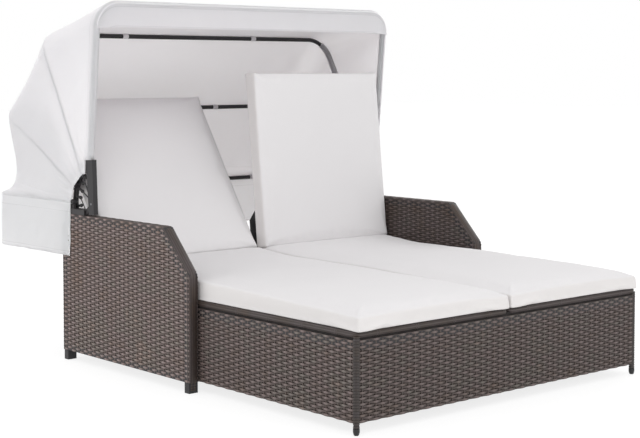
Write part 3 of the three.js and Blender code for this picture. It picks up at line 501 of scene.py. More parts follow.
# A bar wound with strand: rings bulge at each turn along the path, and the finish paints shade in the grooves between
# turns
def buildWrapTree():
    number, whole = "NodeSocketFloat", "NodeSocketInt"
    group, tree, given = newGroup("woundBar", [
        ("Radius", number), ("Pitch", number), ("Groove", number), ("Sides", whole), ("Seed", whole),
        ("Strands", "NodeSocketMaterial")])
    line = tree.make("GeometryNodeMeshToCurve", {}, {0: given["Geometry"]})
    line = tree.make("GeometryNodeResampleCurve", {"mode": "LENGTH"}, {0: line, 3: given["Pitch"] * 0.25})
    line = tree.make("GeometryNodeSetCurveNormal", {"mode": "Z_UP"}, {0: line})
    length = tree.make("GeometryNodeSplineParameter", out=1)
    turns = length / given["Pitch"]
    crest = (turns * math.pi).math("SINE").math("ABSOLUTE")
    scale = given["Radius"] * (1.0 - given["Groove"] * (1.0 - crest))
    shaded = stored(tree, line, "shade", randomShare(tree, turns.math("FLOOR"), given["Seed"]))
    scaled = stored(tree, stored(tree, shaded, "rise", crest * 2.0 - 1.0), "swell", scale)
    swell = tree.make("GeometryNodeInputNamedAttribute", {"data_type": "FLOAT"}, {0: "swell"})
    ring = circle(tree, given["Sides"], 1.0)
    bar = tree.make("GeometryNodeCurveToMesh", {}, {0: scaled, 1: ring, 2: swell, 3: True})
    endGroup(tree, bar, given["Strands"])
    return group


# A plain round bar along a path
def buildBarTree():
    group, tree, given = newGroup("roundBar", [
        ("Radius", "NodeSocketFloat"), ("Sides", "NodeSocketInt"), ("Finish", "NodeSocketMaterial")])
    line = tree.make("GeometryNodeMeshToCurve", {}, {0: given["Geometry"]})
    ring = circle(tree, given["Sides"], given["Radius"])
    bar = tree.make("GeometryNodeCurveToMesh", {}, {0: line, 1: ring, 3: True})
    endGroup(tree, bar, given["Finish"])
    return group


# A bar covered by strands that run along it: each of the profile's points is the middle of a strand or a groove, and
# the finish paints shade in the grooves
def buildStrandedTree():
    number, whole = "NodeSocketFloat", "NodeSocketInt"
    group, tree, given = newGroup("strandedBar", [
        ("Width", number), ("Height", number), ("Strands Around", whole), ("Seed", whole),
        ("Strands", "NodeSocketMaterial")])
    line = tree.make("GeometryNodeMeshToCurve", {}, {0: given["Geometry"]})
    line = tree.make("GeometryNodeResampleCurve", {"mode": "LENGTH"}, {0: line, 3: 0.012})
    line = tree.make("GeometryNodeSetCurveNormal", {"mode": "Z_UP"}, {0: line})
    ring = circle(tree, given["Strands Around"] * 2, 0.5)
    index = tree.make("GeometryNodeInputIndex")
    odd = index.math("MODULO", 2.0)
    shaded = stored(tree, ring, "shade", randomShare(tree, (index * 0.5).math("FLOOR"), given["Seed"]))
    raised = stored(tree, shaded, "rise", 1.0 - odd * 0.9)
    inward = tree.make("ShaderNodeVectorMath", {"operation": "SCALE"}, {
        0: tree.make("GeometryNodeInputPosition"), "Scale": 1.0 - odd * 0.045})
    grooved = tree.make("GeometryNodeSetPosition", {}, {0: raised, 2: inward})
    profile = scaledTo(tree, grooved, given["Width"], given["Height"])
    bar = tree.make("GeometryNodeCurveToMesh", {}, {0: line, 1: profile, 3: True})
    endGroup(tree, bar, given["Strands"])
    return group


panelTree = buildPanelTree()
strandedTree = buildStrandedTree()
wrapTree = buildWrapTree()
barTree = buildBarTree()
emptyMesh = bpy.data.meshes.new("seedMesh")

weave = {
    "strandPitch": 8.4,
    "strandWidth": 7.9,
    "strandDepth": 1.8,
    "wave": 2.3,
    "stepsPerStake": 4,
    "stakeWidth": 7.0,
}


# One woven face. Its origin is the lower left corner seen from outside; right and up are unit vectors.
def wovenFace(name, origin, right, up, width, height, stakeGap, seed, cornerHeight=None, cornerLength=0.0,
              mirror=False):
    stakes = max(2, round(width / stakeGap))
    gap = width / stakes
    rows = max(2, round(height / weave["strandPitch"]))
    pitch = height / rows
    mesh = runTree(panelTree, emptyMesh, {
        "Width": width * mm, "Height": (height - pitch) * mm, "Rows": rows,
        "Steps": stakes * weave["stepsPerStake"] + 1, "Stake Gap": gap * mm,
        "Strand Width": weave["strandWidth"] * mm, "Strand Depth": weave["strandDepth"] * mm,
        "Wave": weave["wave"] * mm, "Stakes": stakes, "Stake Width": weave["stakeWidth"] * mm,
        "Corner Height": (cornerHeight - pitch / 2 if cornerHeight else height - pitch) * mm,
        "Corner Length": cornerLength * mm, "Seed": seed, "Strands": strandFinish})
    out = right.cross(up)
    side = -1.0 if mirror else 1.0
    start = origin + (right * width * mm if mirror else Vector((0, 0, 0)))
    at = start + up * (pitch / 2 * mm) - out * ((weave["strandDepth"] / 2 + weave["wave"]) * mm)
    turned = Matrix((right * side, up, out)).transposed()
    mesh.transform(Matrix.Translation(at) @ turned.to_4x4())
    if mirror:
        mesh.flip_normals()
    mesh.name = name
    return mesh


def woundBar(name, points, radius, seed, closed=False, sides=10, groove=0.13):
    return runTree(wrapTree, pathMesh(name, points, closed), {
        "Radius": radius * mm, "Pitch": weave["strandPitch"] * mm, "Groove": groove, "Sides": sides, "Seed": seed,
        "Strands": wrapFinish})


def strandedBar(name, points, width, height, strands, seed, closed=False):
    return runTree(strandedTree, pathMesh(name, points, closed), {
        "Width": width * mm, "Height": height * mm, "Strands Around": strands, "Seed": seed, "Strands": wrapFinish})


def roundBar(name, points, radius, finish, sides=20):
    return runTree(barTree, pathMesh(name, points), {"Radius": radius * mm, "Sides": sides, "Finish": finish})


# Joins meshes into one piece that rides on a body and takes the given finish
def colored(name, meshes, finish, body="bed", replaces=(), smooth=True):
    piece = newObject(name, joinMeshes(name, meshes), finish, smooth)
    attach(piece, body)
    if replaces:
        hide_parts(*replaces)


def woven(name, meshes, body="bed", replaces=(), finish=strandFinish):
    colored(name, meshes, finish, body, replaces)


# ---- arms ----

arm = {
    "stakeGap": 27.2,
    "inset": 9.0,               # the weave ends short of the slope, under the wound edge
    "edgeWidth": 41.0,
    "edgeHeight": 8.0,          # half of the wound edge's thickness
    "edgeStrands": 14,
    "rearGap": 20.0,            # between the stakes of the narrow rear face
    "coreInset": 6.0,           # the near-black core behind the weave: painted shade seen through its gaps
    "legRadius": 10.5,
    "legInset": 14.0,
    "legFoot": 9.0,
}


def armOutline(inset, foot):
    slope = math.atan2(bed["armTop"] - bed["armFrontTop"], bed["armSlope"])
    front, rear = bed["armFront"] + inset, bed["rear"] - inset
    corner = bed["armFront"] + bed["armSlope"] + inset * math.tan(slope / 2)
    low = bed["armFrontTop"] - inset * math.tan(math.pi / 4 - slope / 2)
    return [(front, foot), (rear, foot), (rear, bed["armTop"] - inset), (corner, bed["armTop"] - inset), (front, low)]


def makeArm(side, sign, seed):
    inner, outer = sign * bed["halfWidth"], sign * bed["armOuter"]
    inset = arm["coreInset"]
    core = prismMesh("core", armOutline(inset, bed["panelFoot"] + 2), inner + sign * inset, outer - sign * inset)
    length = bed["rear"] - bed["armFront"]
    height = bed["armTop"] - bed["panelFoot"]
    low, high = min(inner, outer), max(inner, outer)
    up = Vector((0, 0, 1))
    for label, faceX, outward, faceSeed in (("outer", outer, sign, 1), ("inner", inner, -sign, 2)):
        right = Vector((0, outward, 0))  # the right-hand way as seen from that side
        startY = bed["armFront"] if outward > 0 else bed["rear"]
        meshes = [wovenFace(
            "armFace", rowPoint(faceX, startY, bed["panelFoot"]), right, up, length, height, arm["stakeGap"],
            seed + faceSeed, bed["armFrontTop"] - bed["panelFoot"] - arm["inset"],
            bed["armSlope"] + arm["inset"] * 0.6, mirror=outward < 0)]
        if label == "outer":
            meshes.append(wovenFace("armRear", rowPoint(high, bed["rear"], bed["panelFoot"]), Vector((-1, 0, 0)), up,
                                    high - low, height, arm["rearGap"], seed + 4))
        woven(f"{side}_arm_{label}_wicker", meshes, replaces=[f"{side}_arm_weave"],
              finish=paintedShadeInnerFinish if label == "inner" else strandFinish)
    colored(f"{side}_arm_painted_shade", [core], paintedShadeBoardFinish, smooth=False)
    makeArmEdges(side, seed, low, high)


# A flat round edge, wound with strand, over the front, the slope and the top, and down the rear
def makeArmEdges(side, seed, low, high):
    r, middle = arm["edgeHeight"], (low + high) / 2
    top, front, rear = bed["armTop"] - r, bed["armFront"] + r, bed["rear"] - r
    turn = math.atan2(bed["armTop"] - bed["armFrontTop"], bed["armSlope"])
    frontTop = bed["armFrontTop"] - r * math.tan(math.pi / 4 - turn / 2)
    cut = bed["armFront"] + bed["armSlope"] + r * math.tan(turn / 2)
    corners = ((front, bed["panelFoot"]), (front, frontTop), (cut, top), (rear, top), (rear, bed["panelFoot"]))
    points = [rowPoint(middle, y, z) for y, z in corners]
    band = strandedBar("edge", softened(points, 12), arm["edgeWidth"], 2 * r, arm["edgeStrands"], seed)
    colored(f"{side}_arm_edge", [band], wrapFinish)
    legs = []
    for x in (low + arm["legInset"], high - arm["legInset"]):
        ends = [rowPoint(x, front + 3, z) for z in (bed["panelFoot"] + 4, arm["legFoot"])]
        legs.append(woundBar("leg", ends, arm["legRadius"], seed + 5))
    colored(f"{side}_arm_front_leg", legs, wrapFinish)


# Rounds the corners of a line of points by a radius in millimetres
def softened(points, radius, steps=5):
    made = [points[0]]
    for before, here, after in zip(points, points[1:], points[2:]):
        into, out = (before - here), (after - here)
        reach = min(radius * mm, into.length * 0.45, out.length * 0.45)
        start, end = here + into.normalized() * reach, here + out.normalized() * reach
        for k in range(steps + 1):
            t = k / steps
            made.append((1 - t) ** 2 * start + 2 * t * (1 - t) * here + t * t * end)
    made.append(points[-1])
    return made


makeArm("left", -1, 10)
makeArm("right", 1, 30)
print("arms woven")


# ---- foot section ----

foot = {
    "stakeGap": 26.6,
    "postRadius": 10.0,
    "postFoot": 20.0,
    "lap": 5.0,                 # the weave runs this far in front of the corner posts
    "behind": (6.5, 10.0),      # depths of the near-black board behind the weave: painted shade seen through its gaps
    "past": 24.0,               # the sides run on behind the arms' front edges
    "edgeRadius": 10.3,
    "edgeStrands": 8,
    "tieGap": 158.0,
    "tieWidth": 16.0,
}


def makeFootSection():
    up = Vector((0, 0, 1))
    half, low, top = bed["halfWidth"], bed["panelFoot"], bed["skirtTop"]
    post, lap, past, gap = 2 * foot["postRadius"], foot["lap"], foot["past"], foot["stakeGap"]
    shallow, deep = foot["behind"]
    shut = bed["deckTop"] - 14  # up into the seat frames' wound edge

    # a near-black board behind the weave: painted shade seen through the gaps
    def board(name, lowCorner, highCorner):
        mesh = boxMesh("behind", rowPoint(*lowCorner), rowPoint(*highCorner))
        colored(name, [mesh], paintedShadeBoardFinish, smooth=False)

    front = wovenFace("front", rowPoint(-half + post - lap, 1, low), Vector((1, 0, 0)), up,
                      2 * (half - post) + 2 * lap, top - low, gap, 51)
    woven("front_wicker", [front], replaces=["front_skirt"], finish=paintedShadeFootFinish)
    board("front_painted_shade", (-half + post, shallow + 1, low + 1), (half - post, deep + 1, shut))
    for side, sign, seed in (("left", -1, 61), ("right", 1, 71)):
        length = bed["armFront"] + past - post + lap
        right = Vector((0, sign, 0))
        startY = post - lap if sign > 0 else bed["armFront"] + past
        face = wovenFace("side", rowPoint(sign * half, startY, low), right, up, length, top - low, gap, seed)
        woven(f"{side}_skirt_wicker", [face], replaces=[f"{side}_skirt"], finish=skirtFinish)
        nearX, farX = sorted((sign * (half - shallow), sign * (half - deep)))
        board(f"{side}_skirt_painted_shade", (nearX, post, low + 1), (farX, bed["armFront"] + past, shut))
        r = foot["postRadius"]
        ends = [rowPoint(sign * (half - r), r, z) for z in (foot["postFoot"], shut)]
        bar = woundBar("post", ends, r, seed + 1, sides=14, groove=0.2)
        colored(f"{side}_corner_wicker", [bar], postFinish, replaces=[f"{side}_corner_post"])
    rear, rearTop = bed["rear"], bed["rearSkirtTop"]
    face = wovenFace("rear", rowPoint(half, rear, low), Vector((-1, 0, 0)), up, 2 * half, rearTop - low, gap, 81)
    woven("rear_wicker", [face], replaces=["rear_skirt"], finish=skirtFinish)
    board("rear_painted_shade", (-half, rear - deep, low + 1), (half, rear - shallow, rearTop - 1))


def makeSeatFrames():
    r = foot["edgeRadius"]
    z = bed["deckTop"] - r
    for side, sign, seed in (("left", -1, 91), ("right", 1, 95)):
        near, far = sign * (0.5 + r), sign * (bed["halfWidth"] - r)
        points = [rowPoint(near, r, z), rowPoint(far, r, z), rowPoint(far, bed["seatLength"] - r, z),
                  rowPoint(near, bed["seatLength"] - r, z)]
        ring = softened([points[3], *points, points[0]], 8)[1:-1]
        bars = [strandedBar("ring", ring, 2 * r, 2 * r, foot["edgeStrands"], seed, closed=True)]
        for a, b in zip(points, points[1:] + points[:1]):  # a tie of strand every so often
            ties = round((b - a).length / (foot["tieGap"] * mm))
            along = (b - a).normalized()
            for k in range(ties):
                spot = a.lerp(b, (k + 0.5) / ties)
                half = along * foot["tieWidth"] / 2 * mm
                bars.append(woundBar("tie", [spot - half, spot + half], r + 0.7, seed + k))
        colored(f"{side}_seat_edge", bars, wrapFinish, replaces=[f"{side}_seat_frame"])


makeFootSection()
makeSeatFrames()
print("foot section woven")


# ---- cushions ----

# A pad's rim is this high at its foot end, rises as far as riseEnd and reaches rearEdge over the last rearRun
seatPad = {"width": 646.0, "length": 1274.0, "edge": 46.0, "edgeRise": 18.0, "riseEnd": 760.0, "top": 70.0,
           "rearTop": 77.0, "rearEdge": 72.0, "rearRun": 260.0, "corner": 8.0, "cell": 11.0}
backPad = {"width": 648.0, "length": 686.0, "edge": 53.0, "edgeRise": 0.0, "riseEnd": 1.0, "top": 61.0,
           "rearTop": 61.0, "rearEdge": 53.0, "rearRun": 1.0, "corner": 8.0, "cell": 10.0}
padShape = {
    "layers": (0.0, 0.1, 0.28, 0.5, 0.72, 0.9, 1.0),   # heights of the side's rows, as shares
    "pull": (4.2, 1.1, 0.2, 0.0, 0.2, 1.1, 4.2),        # how far each row is pulled in
    "crown": 69.0,              # the run over which the top rises
    "overhang": 8.0,            # past the foot end
    "gap": 0.4,                 # over the deck
    "broadDent": 3.0,
    "smallDent": 1.3,
    "seamRun": 70.0,            # the dents fade in over this distance from a seam
    "seamPull": 1.2,
    "sideWave": 2.0,
}
padAir = {"pressure": 2.4, "cap": 7.0, "frames": 20}


def eased(share):
    share = min(1.0, max(0.0, share))
    return share * share * (3 - 2 * share)


# A closed pad lying on z zero: soft rims, sides that bulge a little and a crowned top
def padMesh(name, size):
    halfX, halfY, corner = size["width"] / 2, size["length"] / 2, size["corner"]
    cell = size["cell"]
    acrossCount = 2 * round(halfX / cell)
    alongCount = 2 * round(halfY / cell)
    layers, pull, crown = padShape["layers"], padShape["pull"], padShape["crown"]
    spots, faces, index = [], [], {}

    def place(i, j, inset):
        hx, hy, c = halfX - inset, halfY - inset, max(corner - inset, 4.0)
        x, y = (2 * i / acrossCount - 1) * hx, (2 * j / alongCount - 1) * hy
        ox, oy = abs(x) - (hx - c), abs(y) - (hy - c)
        if ox > 0 and oy > 0:
            share = max(ox, oy) / math.hypot(ox, oy)
            x = math.copysign(hx - c + ox * share, x)
            y = math.copysign(hy - c + oy * share, y)
        return x, y

    def spot(key, x, y, z):
        if key not in index:
            index[key] = len(spots)
            spots.append((x * mm, y * mm, z * mm))
        return index[key]

    def height(i, j):  # a seat pad grows thicker from its foot end towards the backrest
        along = size["length"] * j / alongCount
        fromX = halfX * (1 - abs(2 * i / acrossCount - 1))
        fromY = along if size["edgeRise"] else min(along, size["length"] - along)
        rear = eased((along - size["length"]) / size["rearRun"] + 1)
        edge = size["edge"] + size["edgeRise"] * eased(along / size["riseEnd"])
        edge += (size["rearEdge"] - size["edge"] - size["edgeRise"]) * rear
        top = size["top"] + (size["rearTop"] - size["top"]) * rear
        return edge + (top - edge) * (1 - math.exp(-fromX / crown)) * (1 - math.exp(-fromY / crown))

    def flat(level, i, j):
        x, y = place(i, j, pull[0])
        return spot((level, i, j), x, y, level * height(i, j))

    for level in (0, 1):
        for i in range(acrossCount):
            for j in range(alongCount):
                quad = [flat(level, i, j), flat(level, i + 1, j), flat(level, i + 1, j + 1), flat(level, i, j + 1)]
                faces.append(quad if level else quad[::-1])
    rim = [(i, 0) for i in range(acrossCount)] + [(acrossCount, j) for j in range(alongCount)]
    rim += [(i, alongCount) for i in range(acrossCount, 0, -1)] + [(0, j) for j in range(alongCount, 0, -1)]

    def side(layer, k):
        i, j = rim[k % len(rim)]
        if layer in (0, len(layers) - 1):
            return flat(0 if layer == 0 else 1, i, j)
        x, y = place(i, j, pull[layer])
        return spot(("side", layer, i, j), x, y, layers[layer] * height(i, j))

    for layer in range(len(layers) - 1):
        for k in range(len(rim)):
            faces.append([side(layer, k), side(layer, k + 1), side(layer + 1, k + 1), side(layer + 1, k)])
    mesh = bpy.data.meshes.new(name)
    mesh.from_pydata(spots, [], faces)
    band = mesh.attributes.new("band", "FLOAT", "POINT")
    for key, number in index.items():
        band.data[number].value = 1.0 if key[0] == "side" else 0.0
    return mesh


# Fills the pad with air under its cover, so that the cover pulls and wrinkles at its seams
def blowUp(mesh):
    piece = bpy.data.objects.new("padWork", mesh)
    scene.collection.objects.link(piece)
    rest = [v.co.copy() for v in mesh.vertices]
    pinned = piece.vertex_groups.new(name="pinned")
    pinned.add([v.index for v in mesh.vertices if v.co.z < 0.001], 1.0, "REPLACE")
    cloth = piece.modifiers.new("cloth", "CLOTH")
    settings = cloth.settings
    settings.quality = 5
    settings.mass = 0.3
    settings.tension_stiffness = 30
    settings.compression_stiffness = 30
    settings.shear_stiffness = 10
    settings.bending_stiffness = 1.0
    settings.use_pressure = True
    settings.uniform_pressure_force = padAir["pressure"]
    settings.vertex_group_mass = "pinned"
    settings.effector_weights.gravity = 0.0
    settings.shrink_min = -0.015
    cloth.point_cache.frame_end = padAir["frames"]
    for step in range(1, padAir["frames"] + 1):
        scene.frame_set(step)
    graph = bpy.context.evaluated_depsgraph_get()
    made = bpy.data.meshes.new_from_object(piece.evaluated_get(graph), depsgraph=graph)
    scene.frame_set(1)
    bpy.data.objects.remove(piece)
    for v, start in zip(made.vertices, rest):
        move = v.co - start
        if move.length > padAir["cap"] * mm:
            v.co = start + move.normalized() * padAir["cap"] * mm
    return made


# Soft dents in the top, short pulls along the seams and one subdivision
def finishPad(name, mesh, size, seed, place, body, node):
    halfX, halfY = size["width"] / 2 * mm, size["length"] / 2 * mm
    seamRun = padShape["seamRun"] * mm
    for v in mesh.vertices:
        x, y, z = v.co
        shift = Vector((seed * 3.1, seed * 1.7, seed * 0.9))
        edge = max(0.0, min(1.0, (halfX - abs(x)) / seamRun, (halfY - abs(y)) / seamRun))
        dent = noise.noise(Vector((x * 3.2, y * 2.3, 0)) + shift) * padShape["broadDent"]
        dent += noise.noise(Vector((x * 9.0, y * 6.0, 3)) + shift) * padShape["smallDent"] * (1 - 0.6 * edge)
        if z > size["edge"] * mm * 0.8:
            v.co.z += dent * mm * (0.25 + 0.75 * edge)
        elif z > 0.002:
            pull = noise.noise(Vector((x * 22.0, y * 22.0, seed))) * padShape["seamPull"]
            outX = math.copysign(1, x) * (abs(x) > halfX - 0.02)
            outY = math.copysign(1, y) * (abs(y) > halfY - 0.02)
            v.co += Vector((outX, outY, 0)) * pull * mm
            v.co.z += noise.noise(Vector((x * 7.0, y * 7.0, seed + 4))) * padShape["sideWave"] * mm
    piece = newObject(name, mesh, cushionFinish)
    subdivide = piece.modifiers.new("smooth", "SUBSURF")
    subdivide.levels = subdivide.render_levels = 1
    graph = bpy.context.evaluated_depsgraph_get()
    fine = bpy.data.meshes.new_from_object(piece.evaluated_get(graph), depsgraph=graph)
    piece.modifiers.clear()
    piece.data = fine
    layBoxMap(fine)
    fine.transform(place)
    fine.shade_smooth()
    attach(piece, body)
    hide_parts(node)


# A map in metres, laid from above and from the sides
def layBoxMap(mesh):
    layer = mesh.uv_layers.new(name="cloth")
    for polygon in mesh.polygons:
        n = polygon.normal
        for corner in polygon.loop_indices:
            co = mesh.vertices[mesh.loops[corner].vertex_index].co
            if abs(n.z) >= max(abs(n.x), abs(n.y)):
                layer.data[corner].uv = (co.x, co.y)
            elif abs(n.x) > abs(n.y):
                layer.data[corner].uv = (co.z, co.y)
            else:
                layer.data[corner].uv = (co.x, co.z)


# Sizes along a backrest run from its hinge, and depths from the middle of its frame
backrest = {
    "angle": {"left": 56.3, "right": 83.9},
    "padDepth": {"left": 17.0, "right": 10.4},
    "padReach": {"left": (52.0, 744.0), "right": (74.0, 749.0)},  # the seat pad presses the upright one up
    "frameX": (22.0, 628.0),
    "frameReach": (-10.0, 712.0),
    "frameRadius": 10.0,
    "stakeGap": 27.0,
    "weaveDepth": -4.0,
    "boardDepth": (2.0, 6.0),
    "bracketX": (12.0, 19.0),
    "bracketReach": (64.0, 222.0),
    "bracketDepth": (-34.0, 6.0),
    "bracketSlope": 34.0,       # how far its top slopes down towards the rear
    "bracketBevel": 3.0,
}


def backPlace(side):
    turn = Matrix.Rotation(math.radians(backrest["angle"][side]), 4, "X")
    return Matrix.Translation(rowPoint(0, *bed["hinge"])) @ turn


def makeCushions():
    seatShape = blowUp(padMesh("seatPad", seatPad))
    backShape = blowUp(padMesh("backPad", backPad))
    for side, sign, seed in (("left", -1, 1), ("right", 1, 2)):
        middle = sign * bed["halfWidth"] / 2
        place = Matrix.Translation(rowPoint(middle, seatPad["length"] / 2 - padShape["overhang"],
                                            bed["deckTop"] + padShape["gap"]))
        finishPad(f"{side}_seat_pad", seatShape.copy(), seatPad, seed, place, "bed", f"{side}_seat_cushion")
        start, end = backrest["padReach"][side]
        local = Matrix.Translation(Vector((middle, (start + end) / 2, backrest["padDepth"][side])) * mm)
        local = local @ Matrix.Diagonal((1, (end - start) / backPad["length"], 1, 1))
        finishPad(f"{side}_back_pad", backShape.copy(), backPad, seed + 5, backPlace(side) @ local,
                  f"{side}_backrest", f"{side}_back_cushion")


makeCushions()
print("cushions made")


# ---- backrests: a wound frame with a woven panel behind the cushion ----

def makeBackrest(side, sign, seed):
    size, body, place = backrest, f"{side}_backrest", backPlace(side)
    (near, far), (bottom, top), r = size["frameX"], size["frameReach"], size["frameRadius"]

    def spot(x, reach, depth):
        return Vector((x, reach, depth)) * mm

    corners = [(near + r, bottom + r), (far - r, bottom + r), (far - r, top - r), (near + r, top - r)]
    points = [spot(sign * x, reach, 0) for x, reach in corners]
    ring = softened([points[3], *points, points[0]], 16)[1:-1]
    edge = woundBar("ring", ring, r, seed, closed=True, sides=12)
    low, high = sorted((sign * (near + 2 * r - 2), sign * (far - 2 * r + 2)))
    start, end = bottom + 2 * r - 2, top - 2 * r + 2
    rear = wovenFace("rearFace", spot(high, start, size["weaveDepth"]), Vector((-1, 0, 0)), Vector((0, 1, 0)),
                     high - low, end - start, size["stakeGap"], seed + 1)
    board = boxMesh("board", *(spot(*corner) for corner in zip((low, high), (start, end), size["boardDepth"])))
    tabX = sorted(sign * x for x in size["bracketX"])
    tab = boxMesh("tab", *(spot(*corner) for corner in zip(tabX, size["bracketReach"], size["bracketDepth"])),
                  size["bracketBevel"] * mm, 3)
    for v in tab.vertices:
        if v.co.y > 0.2 and v.co.z < -0.02:
            v.co.y -= size["bracketSlope"] * mm
    for mesh in (edge, rear, board, tab):
        mesh.transform(place)
    colored(f"{side}_back_edge", [edge], wrapFinish, body=body, replaces=[f"{side}_back_frame"])
    woven(f"{side}_back_wicker", [rear], body=body, replaces=[f"{side}_back_weave"])
    colored(f"{side}_back_painted_shade", [board], paintedShadeBoardFinish, body=body, smooth=False)
    colored(f"{side}_back_bracket", [tab], plasticFinish, body=body)


makeBackrest("left", -1, 101)
makeBackrest("right", 1, 111)
print("backrests woven")


# ---- hood ----

hood = {
    "rear": (0.0, 668.0),       # each bow's angle above the rear horizon and its reach from the pivot
    "second": (27.5, 680.0),
    "first": (60.5, 688.0),
    "frontAngle": 95.5,
    "frontReach": 547.0,
    "postAngle": 86.0,
    "postHead": 155.0,          # pivot to a post's top and, below, to its foot
    "postFoot": -38.0,
    "postHeadWidth": 42.0,
    "postFootWidth": 32.0,
    "postClear": 1.2,           # from a post to the cloth
    "tube": 9.0,
    "bare": 0.7,                # how much thinner a tube is under its facing
    "tubeStart": {"rear": 122.0, "second": 122.0, "first": 122.0, "front": 1.0},
    "corner": 80.0,             # radius of a bow's two bends
    "clear": 1.0,               # from a tube to the middle of the cloth over it
    "frontClear": 3.5,          # more of that at the front bow, round its pocket
    "edges": {"rear": 136.0, "second": 125.0, "first": 116.0},  # pivot to the cloth's lower edge at each bow
    "edgeDip": 6.0,             # how much lower the cloth's edge runs towards the posts
    "lean": (0.1, 0.7),         # least and most sine of the turn round a tube where the cloth lets go
    "frontTurns": (22.0, 45.0, 68.0, 90.0),  # rows of the cloth round the front bow, in degrees
    "stitch": 0.9,              # depth of a sewn line across a span
    "wrinkle": {"roof": 2.0, "side": 3.6},
    "ray": 1.2,                 # short pulls that run out from the pivot
    "bendSpread": 15,           # columns on each side of a bend's middle where the cloth is lifted
    "barSteps": 40,
    "bendSteps": 10,
    "sideSteps": 26,
    "spanSteps": 26,
    "thickness": 1.3,
}
bodyOf = {"rear": "bed", "second": "second_canopy_bow", "first": "first_canopy_bow", "front": "front_canopy_bow"}


def bowOf(which):
    py, pz = bed["pivot"]
    if which == "front":
        turn = math.radians(hood["postAngle"])
        return {"y": py + hood["postHead"] * math.cos(turn), "z": pz + hood["postHead"] * math.sin(turn),
                "angle": hood["frontAngle"], "reach": hood["frontReach"], "start": 2.0}
    angle, reach = hood[which]
    return {"y": py, "z": pz, "angle": angle, "reach": reach, "start": hood["edges"][which]}


# Points (x, reach) of a bow's middle line and the direction straight out from its tube
def bowLine(bow):
    side, bend, top, start = bed["bowPlane"], hood["corner"], bow["reach"], bow["start"]
    half = []
    for k in range(hood["sideSteps"]):
        half.append((side, start + (top - bend - start) * k / hood["sideSteps"], 1.0, 0.0))
    for k in range(hood["bendSteps"]):
        turn = math.pi / 2 * k / hood["bendSteps"]
        nx, nr = math.cos(turn), math.sin(turn)
        half.append((side - bend + bend * nx, top - bend + bend * nr, nx, nr))
    for k in range(hood["barSteps"] // 2 + 1):
        half.append(((side - bend) * (1 - 2 * k / hood["barSteps"]), top, 0.0, 1.0))
    return half + [(-x, r, -nx, nr) for x, r, nx, nr in reversed(half[:-1])]


def bowPoint(bow, x, reach, out=0.0):
    turn = math.radians(bow["angle"])
    return rowPoint(x, bow["y"] + reach * math.cos(turn) - out * math.sin(turn),
                    bow["z"] + reach * math.sin(turn) + out * math.cos(turn))


def tubeSpot(bow, entry, lean, clear):
    x, reach, nx, nr = entry
    level = math.sqrt(max(0.0, 1 - lean * lean)) * clear
    return bowPoint(bow, x + nx * level, reach + nr * level, lean * clear)


# The sine of how far round its tube the cloth lets go on its way to the other bow
def leaving(bow, other, line, otherLine, c):
    here = bowPoint(bow, *line[c][:2])
    before, after = line[max(c - 1, 0)], line[min(c + 1, len(line) - 1)]
    along = bowPoint(bow, *after[:2]) - bowPoint(bow, *before[:2])
    away = bowPoint(other, *otherLine[c][:2]) - here
    normal = along.cross(away).normalized()
    x, reach, nx, nr = line[c]
    outwards = bowPoint(bow, x + nx, reach + nr) - here
    facing = 1.0 if normal.dot(outwards) >= 0 else -1.0
    ahead = (bowPoint(bow, x, reach, 1.0) - here).normalized()
    return normal.dot(ahead) * facing


# A sheet from rows of points, with a cloth map in metres and its two faces apart by a thickness
def clothObject(name, rows, thickness=None, finish=None):
    height, width = len(rows), len(rows[0])
    spots = [tuple(p) for row in rows for p in row]
    faces = [[r * width + c, r * width + c + 1, (r + 1) * width + c + 1, (r + 1) * width + c]
             for r in range(height - 1) for c in range(width - 1)]
    mesh = bpy.data.meshes.new(name)
    mesh.from_pydata(spots, [], faces)
    layer = mesh.uv_layers.new(name="cloth")
    down = [[0.0] * width for _ in range(height)]
    across = [[0.0] * width for _ in range(height)]
    for r in range(height):
        for c in range(width):
            if r:
                down[r][c] = down[r - 1][c] + (rows[r][c] - rows[r - 1][c]).length
            if c:
                across[r][c] = across[r][c - 1] + (rows[r][c] - rows[r][c - 1]).length
    middleAcross = [row[width // 2] for row in across]
    for polygon in mesh.polygons:
        for corner in polygon.loop_indices:
            v = mesh.loops[corner].vertex_index
            r, c = divmod(v, width)
            layer.data[corner].uv = (across[r][c] - middleAcross[r], down[r][c])
    piece = newObject(name, mesh, finish or hoodFinish)
    solid = piece.modifiers.new("cloth", "SOLIDIFY")
    solid.thickness = (thickness or hood["thickness"]) * mm
    solid.offset = 0.0
    graph = bpy.context.evaluated_depsgraph_get()
    piece.data = bpy.data.meshes.new_from_object(piece.evaluated_get(graph), depsgraph=graph)
    piece.modifiers.clear()
    piece.data.shade_smooth()
    area = sum((rows[r][c + 1] - rows[r][c]).cross(rows[r + 1][c] - rows[r][c]).length
               for r in range(height - 1) for c in range(width - 1))
    wide = max(row[-1] for row in across)
    long = max(down[-1])
    return piece, (wide, long), min(area, wide * long)


def ripple(u, v, seed):
    broad = noise.noise(Vector((u * 6.0 + seed, v * 6.0, seed * 0.37)))
    return broad + 0.5 * noise.noise(Vector((u * 17.0, v * 17.0 + seed, seed)))


# How near a column of the cloth is to the middle of a bow's bend, from 0 to 1
def bendShare(c, count, spread):
    along = min(c, count - 1 - c)
    middle = hood["sideSteps"] + hood["bendSteps"] / 2
    return max(0.0, 1 - abs(along - middle) / spread) ** 1.3


def spanShares(seams):
    shares = [k / hood["spanSteps"] for k in range(hood["spanSteps"] + 1)]
    for seam in seams:  # four close rows hold a sewn line
        shares = [s for s in shares if abs(s - seam) > 0.022]
        shares += [seam - 0.014, seam - 0.004, seam + 0.004, seam + 0.014]
    return sorted(shares)


